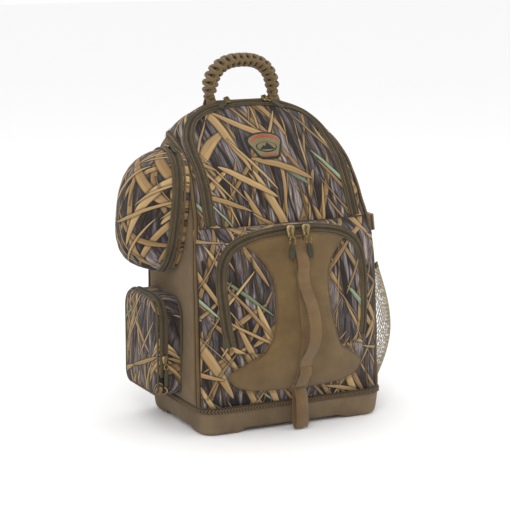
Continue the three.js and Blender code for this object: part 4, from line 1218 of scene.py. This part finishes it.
def pouch_loft(rows, count=150):
    """A loft through rows of (x, inset) of the pocket's outline."""
    points = []
    for x, inset in rows:
        ring = pouch_outline(inset, 1.0)
        places = np.linspace(0, len(ring), count, endpoint=False)
        ring = np.vstack([ring, ring[:1]])
        yz = np.stack([np.interp(places, np.arange(len(ring)), ring[:, k]) for k in range(2)], -1)
        points.append(np.column_stack([np.full(count, x), yz]))
    every = np.vstack(points)
    swell = folds(every, 21, 34.0) * 0.9
    lean = unit(every - np.array([POUCH_BACK + 10, (POUCH_FRONT + POUCH_REAR) / 2, 128]))
    every = every + lean * swell[:, None]
    faces = grid_faces(len(rows), count, wrap=True)
    faces += [tuple(range(count))[::-1], tuple((len(rows) - 1) * count + j for j in range(count))]
    reach = 1 + (POUCH_RIM - every[:, :1]) / 150
    uv = (every[:, 1:] - np.array([33, 128])) * reach + np.array([500, 600])
    return every, faces, uv * MM


shape = Shape().add(*pouch_loft([
    (POUCH_BACK - 0.5, 2.6), (POUCH_RIM + 0.5, 2.6), (POUCH_RIM + 0.5, 0.6), (POUCH_RIM + 3, -0.3),
    (POUCH_RIM + 8, -0.9), (POUCH_RIM + 16, -1.0), (POUCH_BACK - 8, -0.6), (POUCH_BACK - 3, 0.3),
    (POUCH_BACK - 0.4, 1.6), (POUCH_BACK - 0.2, 3)]))
shape.faces = [face[::-1] for face in shape.faces]
make(shape, "accessory_gusset_cloth", CAMO, "pack", replaces=["accessory_gusset"])
shape = Shape().add(*pouch_loft([
    (POUCH_RIM - 9.5, 50), (POUCH_RIM - 9.0, 20), (POUCH_RIM - 7, 5), (POUCH_RIM - 1.4, 2.6),
    (POUCH_RIM - 1.2, 0.6),
    (POUCH_RIM - 3.5, -0.4), (POUCH_RIM - 7, 0.6), (POUCH_RIM - 10, 3.4), (POUCH_RIM - 11.6, 8),
    (POUCH_RIM - 12.6, 15), (POUCH_RIM - 13.4, 28), (POUCH_RIM - 14, 42), (POUCH_RIM - 14.2, 52)]))
make(shape, "accessory_flap_cloth", CAMO, "accessory_flap", replaces=["accessory_flap"])


def pouch_line(x, out, low_z, closed=False):
    """Points and outward normals round the pocket's rim above a height."""
    ring = pouch_outline(-out, 2.0)
    if not closed:
        start = int(np.argmin(np.abs(ring[:, 1] - low_z) + (ring[:, 0] < 30) * 1e3))
        ring = np.roll(ring, -start, axis=0)
        stop = int(np.argmin(np.abs(ring[:, 1] - low_z) + (ring[:, 0] > 30) * 1e3))
        ring = ring[:stop + 1]
    points = np.column_stack([np.full(len(ring), x), ring])
    along = tangents(points, closed)
    normal = unit(np.cross(along, np.array([-1.0, 0, 0])))
    middle = points.mean(0)
    if ((points - middle) * normal).sum() < 0:
        normal = -normal
    return points, normal


zipper_band("accessory_zip", pouch_line(POUCH_RIM - 0.4, 0.8, 84), "pack", "accessory_flap")
for word, x, out, body in (("rim", POUCH_RIM - 9.4, -1.4, "accessory_flap"),
                           ("foot", POUCH_BACK - 1.8, 0.6, "pack")):
    points, normals = pouch_line(x, out, 0, closed=True)
    make(sweep(Shape(), points, normals, round_profile(1.7, 10), closed=True),
         f"accessory_{word}_piping", TAPE,
         body)


# ------------------------------------------------------------------ right side net pocket
NET_BOW = [(45, 7), (60, 24), (90, 46), (120, 56), (150, 55), (180, 47), (210, 34), (240, 16)]
NET_TOP = [(-84, 235), (-72, 234), (-40, 225), (12, 218), (64, 225), (96, 236)]
NET_MIDDLE = 12
NET_HALF = 84


def net_point(angle, z):
    """The net's skin at an angle round it from its middle, and a height."""
    wall = curve_at(BODY, z) + 0.8
    bow = np.maximum(curve_at(NET_BOW, z), 1.5)
    return np.stack([
        wall + bow * np.maximum(np.cos(angle), 0) ** 0.8 + 1.0,
        NET_MIDDLE + NET_HALF * np.sin(angle), z + 0 * angle,
    ], -1)


def net_normals(angle, z):
    e = 0.01
    angle = np.clip(angle, -1.5, 1.5)
    da = net_point(angle + e, z) - net_point(angle - e, z)
    dz = net_point(angle, z + 1) - net_point(angle, z - 1)
    return unit(np.cross(da, dz))


strands = Shape()
NET_PITCH = 7.4
NET_SPAN = 150
for way in (-1, 1):
    for start in np.arange(-NET_SPAN - 200, NET_SPAN + 200, NET_PITCH):
        z = np.arange(46, 242, 3.2)
        around = start + way * (z - 46) * 0.55
        angle = around / NET_SPAN * math.pi / 2
        top = curve_at(NET_TOP, NET_MIDDLE + NET_HALF * np.sin(np.clip(angle, -1.57, 1.57)))
        chosen = (np.abs(angle) < 1.52) & (z < top)
        if chosen.sum() < 3:
            continue
        points = net_point(angle[chosen], z[chosen])
        normals = net_normals(angle[chosen], z[chosen])
        sweep(strands, points + normals * way * 0.25, normals, round_profile(0.55, 5, flat=0.7))
make(strands, "net_pocket_strands", NET, "pack", replaces=["net_pocket"])
hem_angle = np.linspace(-1.5, 1.5, 60)
hem_z = curve_at(NET_TOP, NET_MIDDLE + NET_HALF * np.sin(hem_angle)) + 2.5
hem = sweep(Shape(), net_point(hem_angle, hem_z), net_normals(hem_angle, hem_z),
            band_profile(-4.5, 4.5, -0.9, 0.9))
make(hem, "net_pocket_hem", PIPING, "pack", replaces=["net_hem"])


# ------------------------------------------------------------------ zip sliders and pulls
def turn_x(points, degrees):
    c, s = math.cos(math.radians(degrees)), math.sin(math.radians(degrees))
    return np.stack([points[..., 0], points[..., 1] * c - points[..., 2] * s,
                     points[..., 1] * s + points[..., 2] * c], -1)


def placed(points, degrees, origin):
    return turn_x(np.asarray(points, float), degrees) + np.array(origin)


def slider_shape(place):
    """A slider body with flared cheeks, and the bridge that holds its ring."""
    shape = Shape()
    rows = [(-6.2, 2.2, 1.4), (-5.2, 3.2, 1.8), (-1.5, 3.9, 2.0), (2.0, 4.7, 2.0), (4.6, 4.6, 1.9),
            (6.2, 3.2, 1.4)]
    angles = np.linspace(0, 2 * math.pi, 20, endpoint=False)
    rings = []
    for z, half, thick in rows:
        x = half * np.sign(np.cos(angles)) * np.abs(np.cos(angles)) ** 0.6
        y = -2.4 + thick * np.sign(np.sin(angles)) * np.abs(np.sin(angles)) ** 0.6
        rings.append(np.stack([x, y, np.full(20, z)], -1))
    every = np.vstack(rings)
    faces = grid_faces(len(rows), 20, wrap=True)
    faces += [tuple(range(20))[::-1], tuple((len(rows) - 1) * 20 + j for j in range(20))]
    shape.add(place(every), faces, every[:, :2] * MM)
    arch = np.array([(0, -3.6, 4.2), (0, -5.6, 3.6), (0, -6.8, 1.6), (0, -6.9, -1.4), (0, -6.0, -3.8),
                     (0, -3.8, -4.6)])
    arch = smooth_path(arch, 0.8)
    normals = np.repeat(np.array([[1.0, 0, 0]]), len(arch), 0)
    points = place(arch)
    out = place(arch + normals) - points
    sweep(shape, points, out, round_profile(1.0, 8, flat=1.3))
    return shape


def ring_shape(place, half_x=3.9, top=0.4, bottom=-9.2, wire=1.05):
    """The wire ring that hangs from the bridge."""
    angles = np.linspace(0, 2 * math.pi, 28, endpoint=False)
    middle, reach = (top + bottom) / 2, (top - bottom) / 2 - wire / 2
    loop = np.stack([(half_x - wire / 2) * np.cos(angles), 0 * angles, middle + reach * np.sin(angles)], -1)
    normals = np.repeat(np.array([[0, -1.0, 0]]), len(loop), 0)
    points = place(loop)
    return sweep(Shape(), points, place(loop + normals) - points, round_profile(wire, 8), closed=True)


def tab_shape(place, top, length, half=3.4, thick=1.5):
    """A moulded pull tab with a waist and grip ribs."""
    z = np.linspace(top, top - length, 40)
    t = np.linspace(0, 1, 40)
    rounded_ends = np.sqrt(np.clip(1 - ((t - 0.5) / 0.505) ** 8, 0.02, 1))
    width = half * (0.62 + 0.38 * smoothstep(0.0, 0.35, t)) * rounded_ends
    ribs = 0.22 * (np.sin(t * 60) > 0.2) * ((t > 0.42) & (t < 0.86))
    angles = np.linspace(0, 2 * math.pi, 16, endpoint=False)
    rings = [np.stack([
        w * np.sign(np.cos(angles)) * np.abs(np.cos(angles)) ** 0.5,
        (thick * min(1, w / half + 0.35) - r) * np.sign(np.sin(angles)) * np.abs(np.sin(angles)) ** 0.8,
        np.full(16, height)], -1) for w, r, height in zip(width, ribs, z)]
    every = np.vstack(rings)
    faces = grid_faces(40, 16, wrap=True, flip=True)
    faces += [tuple(range(16)), tuple(39 * 16 + j for j in range(16))[::-1]]
    return Shape().add(place(every), faces, every[:, [0, 2]] * MM)


def add_slider(name, origin, degrees, pull_length, size=1.0, aside=0.0):
    """A slider and its pull at a CAD slider's place; both ride on their own bodies.
    aside turns the pull away from straight down, in degrees."""
    c, s = math.cos(math.radians(aside)), math.sin(math.radians(aside))

    def here(points):
        return placed(np.asarray(points, float) * size, degrees, origin)

    def on_pull(points):
        x, y, z = np.moveaxis(np.asarray(points, float), -1, 0)
        return here(np.stack([x * c - z * s, y, x * s + z * c], -1) + np.array([0, -7.2, -5.5]))
    make(slider_shape(here), f"{name}_slider_body", BRASS, f"{name}_slider",
         replaces=[f"{name}_slider"])
    make(ring_shape(on_pull), f"{name}_pull_ring", BRASS, f"{name}_pull")
    make(tab_shape(on_pull, -7.6, pull_length / size + 1.2), f"{name}_pull_tab", RUBBER, f"{name}_pull",
         replaces=[f"{name}_pull"])


add_slider("main_left", (-32, 73.2, 490.6), -60, 24, 1.1, -52)
add_slider("main_right", (34, 73.2, 490.6), -60, 24, 1.1, 30)
add_slider("front_left", (-16, -112.2, 311), -4, 22, 1.45, -4)
add_slider("front_right", (10, -112.2, 311), -4, 22, 1.45, 8)
add_slider("accessory", (POUCH_RIM - 0.5, POUCH_FRONT - 3.4, 112), 0, 26)


def case_slider_at(points):
    local = turn_x(np.asarray(points, float) + np.array([0, -4.0, 0]), -90)
    return case_at(local + np.array([-CASE_SPLIT - 0.5, 0, CASE_HALF_Z - 1]))


def case_pull_at(points):
    tilted = turn_x(np.asarray(points, float), 24) + np.array([0, -7.6, -5])
    return case_slider_at(tilted)


make(slider_shape(case_slider_at), "case_slider_body", BRASS, "case_slider",
     replaces=["case_slider"])
make(tab_shape(case_pull_at, -0.5, 27.5), "case_pull_tab", RUBBER, "case_pull",
     replaces=["case_pull"])


# ------------------------------------------------------------------ knotted cord handle
HANDLE_HALF_SPAN = 56
HANDLE_Y = 88
HANDLE_BASE = 497
HANDLE_RISE = 57
HANDLE_WIDTH = 33
CORD_RADIUS = 3.3
KNOT_PITCH = 11

angles = np.linspace(0, math.pi, 120)
arch = np.stack([
    HANDLE_HALF_SPAN * np.sign(np.cos(angles)) * np.abs(np.cos(angles)) ** 0.8,
    np.full(120, HANDLE_Y),
    HANDLE_BASE + HANDLE_RISE * np.abs(np.sin(angles)) ** 0.8,
], -1)
foot_drop = np.array([0, 0, 2.0])
arch = np.vstack([arch[:1] - foot_drop, arch, arch[-1:] - foot_drop])
arch = resample(arch, 1.0)
arch_out = unit(np.cross(tangents(arch), np.array([0, 1.0, 0])))
if (arch_out[len(arch) // 2, 2]) < 0:
    arch_out = -arch_out
knots = Shape()
place, outs, along = spaced(arch, arch_out, KNOT_PITCH / 2)
depth = np.array([0, 1.0, 0])
loop_angles = np.linspace(0, 2 * math.pi, 22, endpoint=False)
for i, (p, n, a) in enumerate(zip(place, outs, along)):
    lean = 1 if i % 2 else -1
    ends = min(i, len(place) - 1 - i)
    share = min(1.0, 0.60 + 0.13 * ends)
    wide = (HANDLE_WIDTH / 2 - CORD_RADIUS) * share * (0.72 + 0.5 * i / len(place))
    high = 8.0 * share
    swing = np.cos(loop_angles)
    path = (p + depth * (wide * np.sign(swing) * np.abs(swing) ** 0.75)[:, None]
            + n * (high * np.sin(loop_angles))[:, None]
            + a * (lean * 4.2 * swing * np.sign(np.sin(loop_angles) + 1e-6)
                   * np.abs(np.sin(loop_angles)) ** 0.3)[:, None])
    normals = unit(path - p)
    sweep(knots, path, normals, round_profile(CORD_RADIUS, 8), closed=True)
for offset in (-6.5, 0, 6.5):
    core = arch + depth * offset
    sweep(knots, core, arch_out, round_profile(4.2, 8))
make(knots, "handle_knots", CORD, "handle", replaces=["paracord_handle"])

anchors = Shape()
for sign in (-1, 1):
    line = np.array([(sign * 55, 100, 474), (sign * 55, 97, 484), (sign * 55.5, 90, 494),
                     (sign * 56, 85, 497),
                     (sign * 56, 80, 492), (sign * 57, 77, 484), (sign * 58, 74, 480)])
    line = smooth_path(line, 1.5)
    sweep(anchors, line, unit(np.cross(tangents(line), np.array([1.0, 0, 0]))),
          band_profile(-8, 8, -1, 1, 0.6))
make(anchors, "handle_anchors", CORD, "pack")


# ------------------------------------------------------------------ badge
BADGE = np.array([(-31, 431), (-27.5, 438.5), (-15, 443.5), (0, 445), (15, 443.5), (27.5, 438.5), (31, 431),
                  (17.5, 408.5), (12, 406.5), (-12, 406.5), (-17.5, 408.5)], float)
BADGE_MIDDLE = np.array([0, 426.5])


def badge_layer(name, outline, look, out, thick, spacing=1.6):
    outline = smooth_path(resample(outline, 2.0, closed=True), 1.2, closed=True, rounds=2)
    return panel(name, outline, body_point, look, "main_flap", "patch", out=out, puff=0.3, pinch=0.3,
                 wrinkle=0.0,
                 thick=thick, spacing=spacing)


def shrunk(outline, share_x, share_z):
    return BADGE_MIDDLE + (outline - BADGE_MIDDLE) * np.array([share_x, share_z])


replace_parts(badge_layer("badge_rim", BADGE, PATCH_DARK, 3.9, 2.6), "badge_patch")
badge_layer("badge_face", shrunk(BADGE, 0.91, 0.87), PATCH, 4.3, 1.2)
arc = np.linspace(math.radians(40), math.radians(140), 24)
bar = np.vstack([
    np.stack([32 * np.cos(arc), 415.5 + 25.5 * np.sin(arc)], -1),
    np.stack([30 * np.cos(arc[::-1]), 415.5 + 21.3 * np.sin(arc[::-1])], -1),
])
badge_layer("badge_red_arc", bar, PATCH_RED, 4.75, 0.8, 1.2)
badge_layer("badge_red_bar", np.array([(-12, 409.6), (12, 409.6), (12, 412.0), (-12, 412.0)], float),
            PATCH_RED,
            4.75, 0.8, 1.2)
turns = np.linspace(0, 2 * math.pi, 40, endpoint=False)
for name, look, half_x, half_z, out in (("badge_oval", PATCH_DARK, 18, 8.0, 4.7),
                                        ("badge_oval_face", PATCH, 16.2, 6.5, 5.1)):
    badge_layer(name, np.stack([half_x * np.cos(turns), 422.8 + half_z * np.sin(turns)], -1), look, out,
                0.8, 1.2)
peak = np.array([(-13, 418.6), (-5, 425), (-2.5, 423), (2.5, 429), (13, 418.6)], float)
badge_layer("badge_hill", peak, PATCH_DARK, 5.5, 0.8, 1.2)


# ------------------------------------------------------------------ padded back and harness
SIM_FRAMES = 20


def stuffed(name, node, look, body, cap=6.0, voxel=5.0, shrink=1.6, after=None):
    """A padded piece: a CAD solid's shape remeshed, blown up as cloth, and capped."""
    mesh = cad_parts[node].data.copy()
    made = bpy.data.objects.new(name, mesh)
    bpy.context.scene.collection.objects.link(made)
    remesh = made.modifiers.new("remesh", "REMESH")
    remesh.mode = "VOXEL"
    remesh.voxel_size = voxel * MM
    graph = bpy.context.evaluated_depsgraph_get()
    made.data = bpy.data.meshes.new_from_object(made.evaluated_get(graph))
    made.modifiers.clear()
    count = len(made.data.vertices)
    rest, normals = np.zeros(count * 3), np.zeros(count * 3)
    made.data.vertices.foreach_get("co", rest)
    made.data.vertices.foreach_get("normal", normals)
    rest, normals = rest.reshape(-1, 3), normals.reshape(-1, 3)
    rest = rest - normals * shrink * MM
    made.data.vertices.foreach_set("co", rest.ravel())
    made.data.update()
    cloth = made.modifiers.new("cloth", "CLOTH")
    cloth.settings.use_pressure = True
    cloth.settings.uniform_pressure_force = 4
    cloth.settings.effector_weights.gravity = 0
    cloth.point_cache.frame_end = SIM_FRAMES
    for step in range(1, SIM_FRAMES + 1):
        bpy.context.scene.frame_set(step)
    graph = bpy.context.evaluated_depsgraph_get()
    moved = np.zeros(count * 3)
    made.evaluated_get(graph).data.vertices.foreach_get("co", moved)
    moved = moved.reshape(-1, 3)
    made.modifiers.clear()
    bpy.context.scene.frame_set(1)
    step = moved - rest
    reach = np.linalg.norm(step, axis=1, keepdims=True)
    moved = rest + step * np.minimum(1, cap * MM / np.maximum(reach, 1e-9))
    pack = (moved - SHIFT) / MM
    if after:
        pack = after(pack)
    made.data.vertices.foreach_set("co", at(pack).ravel())
    layer = made.data.uv_layers.new(name="cloth")
    corners = np.zeros(len(made.data.loops), int)
    made.data.loops.foreach_get("vertex_index", corners)
    layer.data.foreach_set("uv", (pack[:, [0, 2]] * MM)[corners].astype(np.float32).ravel())
    made.data.polygons.foreach_set("use_smooth", [True] * len(made.data.polygons))
    made.data.materials.clear()
    made.data.materials.append(look)
    made.data.update()
    smooth = made.modifiers.new("smooth", "SUBSURF")
    smooth.levels = smooth.render_levels = 1
    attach(made, body)
    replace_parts(made, node)
    return made


PAD_SEAMS = (128, 206, 284, 352)
PAD_SEAM_HALF = 5.0
PAD_MIDDLE_HALF = 6.0
PAD_CHANNEL_DEPTH = 5.0
PAD_INNER_FACE = 107.4
PAD_OUTER_FACES = (112, 118)


def pad_channels(points):
    """Sewn channels across the back pad, and one down its middle."""
    depth = sum(np.exp(-((points[:, 2] - z) / PAD_SEAM_HALF) ** 2) for z in PAD_SEAMS)
    depth = np.maximum(depth, np.exp(-(points[:, 0] / PAD_MIDDLE_HALF) ** 2))
    outer = smoothstep(*PAD_OUTER_FACES, points[:, 1])
    points[:, 1] -= PAD_CHANNEL_DEPTH * np.clip(depth, 0, 1) * outer
    points[:, 1] = np.maximum(points[:, 1], PAD_INNER_FACE)
    return points


stuffed("back_pad_cloth", "back_pad", MESH_PAD, "pack", cap=6, after=pad_channels)

STRAP_PATH = [(50, 118, 428), (56, 137, 410), (64, 155, 380), (72, 165, 340), (79, 167, 295),
              (85, 160, 250),
              (89, 146, 210), (92, 131, 178)]
LOCK = (93.5, 126, 168)
ANCHOR_X = 112
for word, sign in (("left", -1), ("right", 1)):
    body = f"strap_{word}"
    stuffed(f"shoulder_strap_{word}_cloth", f"shoulder_strap_{word}", MESH_PAD, body, cap=5)
    line = smooth_path(np.array(STRAP_PATH, float) * np.array([sign, 1, 1]), 2.0)
    along = tangents(line)
    thick = unit(np.stack([0 * along[:, 0], -along[:, 2], along[:, 1]], -1))
    thick = np.where(thick[:, 1:2] > 0, thick, -thick)
    face = line + thick * 11.4
    web = sweep(Shape(), face[2:-1], thick[2:-1], band_profile(-12, 12, -0.8, 0.8, 0.6))
    tip = np.array([face[-2], (sign * 93.0, 131.5, 176), (sign * 93.5, 130.5, 170),
                    (sign * 93.5, 127, 167)])
    sweep(web, smooth_path(tip, 1.5), np.repeat(thick[-1:], len(smooth_path(tip, 1.5)), 0),
          band_profile(-12, 12, -0.8, 0.8, 0.6))
    make(web, f"shoulder_web_{word}", WEBBING, body)
    seams = Shape()
    for across in (-10, 10):
        stitch_line(seams, face[2:-1], thick[2:-1], across, 0.9, 3.4)
    for reach in (-28.5, 28.5):
        stitch_line(seams, line[4:-4] + thick[4:-4] * 4.4, thick[4:-4], reach, 0.8, 3.6)
    make(seams, f"shoulder_stitches_{word}", THREAD, body)
    dress_node(f"ladder_lock_{word}", BUCKLE, 0.8)
    low = np.array([sign * ANCHOR_X, 113.2, 61])
    high = np.array([LOCK[0] * sign, LOCK[1] - 2.2, LOCK[2] - 10.5])
    run = resample(np.stack([low, high]), 4.0)
    web = sweep(Shape(), run, np.repeat(np.array([[0, 1.0, 0]]), len(run), 0),
                band_profile(-12, 12, -0.8, 0.8, 0.6))
    make(web, f"lower_web_{word}_strap", WEBBING, f"lower_web_{word}",
         replaces=[f"lower_web_{word}"])
    corner_line = np.array([(98, 47), (138, 47), (128, 72), (97, 72)], float) * np.array([sign, 1])
    panel(f"strap_anchor_{word}_cloth", corner_line, lambda x, z: np.stack([x, 111.4 + 0 * x, z], -1),
          CANVAS,
          "pack", "webbing", sign=-1, puff=0.6, pinch=0.4, wrinkle=0.2, thick=3.2, spacing=3.0,
          replaces=[f"strap_anchor_{word}"])

yoke = np.array([(-88, 404), (88, 404), (80, 446), (-80, 446)], float)
panel("strap_yoke_cloth", yoke, lambda x, z: np.stack([x, 111.0 + 0 * x, z], -1), CANVAS, "pack", "webbing",
      sign=-1, puff=1.0, pinch=0.6, wrinkle=0.4, thick=3.2, spacing=4.0, replaces=["strap_yoke"])
seam = Shape()
border = resample(yoke * np.array([0.95, 1]) * 1.0, 2.0, closed=True)
border = np.column_stack([border[:, 0], np.full(len(border), 111.6),
                          425 + (border[:, 1] - 425) * 0.82])
stitch_line(seam, border, np.repeat(np.array([[0, 1.0, 0]]), len(border), 0), 0, 0.3)
make(seam, "strap_yoke_stitches", THREAD, "pack")

for name in ("sternum_socket", "sternum_plug", "compression_socket", "compression_plug"):
    dress_node(name, BUCKLE, 0.9)


def straight_web(name, ends, normal, half, body):
    run = resample(np.array(ends, float), 3.0)
    web = sweep(Shape(), run, np.repeat(np.array([normal], float), len(run), 0),
                band_profile(-half, half, -1.2, 1.2, 0.6))
    return make(web, name, WEBBING, body)


straight_web("sternum_web_left", [(-62, 175, 330), (-50, 177.4, 330), (-22, 178, 330)], (0, 1, 0), 12.3,
             "strap_left")
straight_web("sternum_web_right", [(17, 178, 330), (50, 177.4, 330), (64, 175, 330)], (0, 1, 0), 11.5,
             "strap_right")
tilt = math.radians(-7)
lean_out = np.array([math.cos(tilt), 0, -math.sin(tilt)])
start = np.array([158.2, 0, 303])
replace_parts(straight_web("compression_strap",
                         [start + np.array([0, y, 0]) + lean_out * -0.3 for y in (1, 96)],
                         lean_out, 12, "pack"), "compression_web")

dress_node("divider_wall", LINING)
dress_node("frame_sheet", LINING)
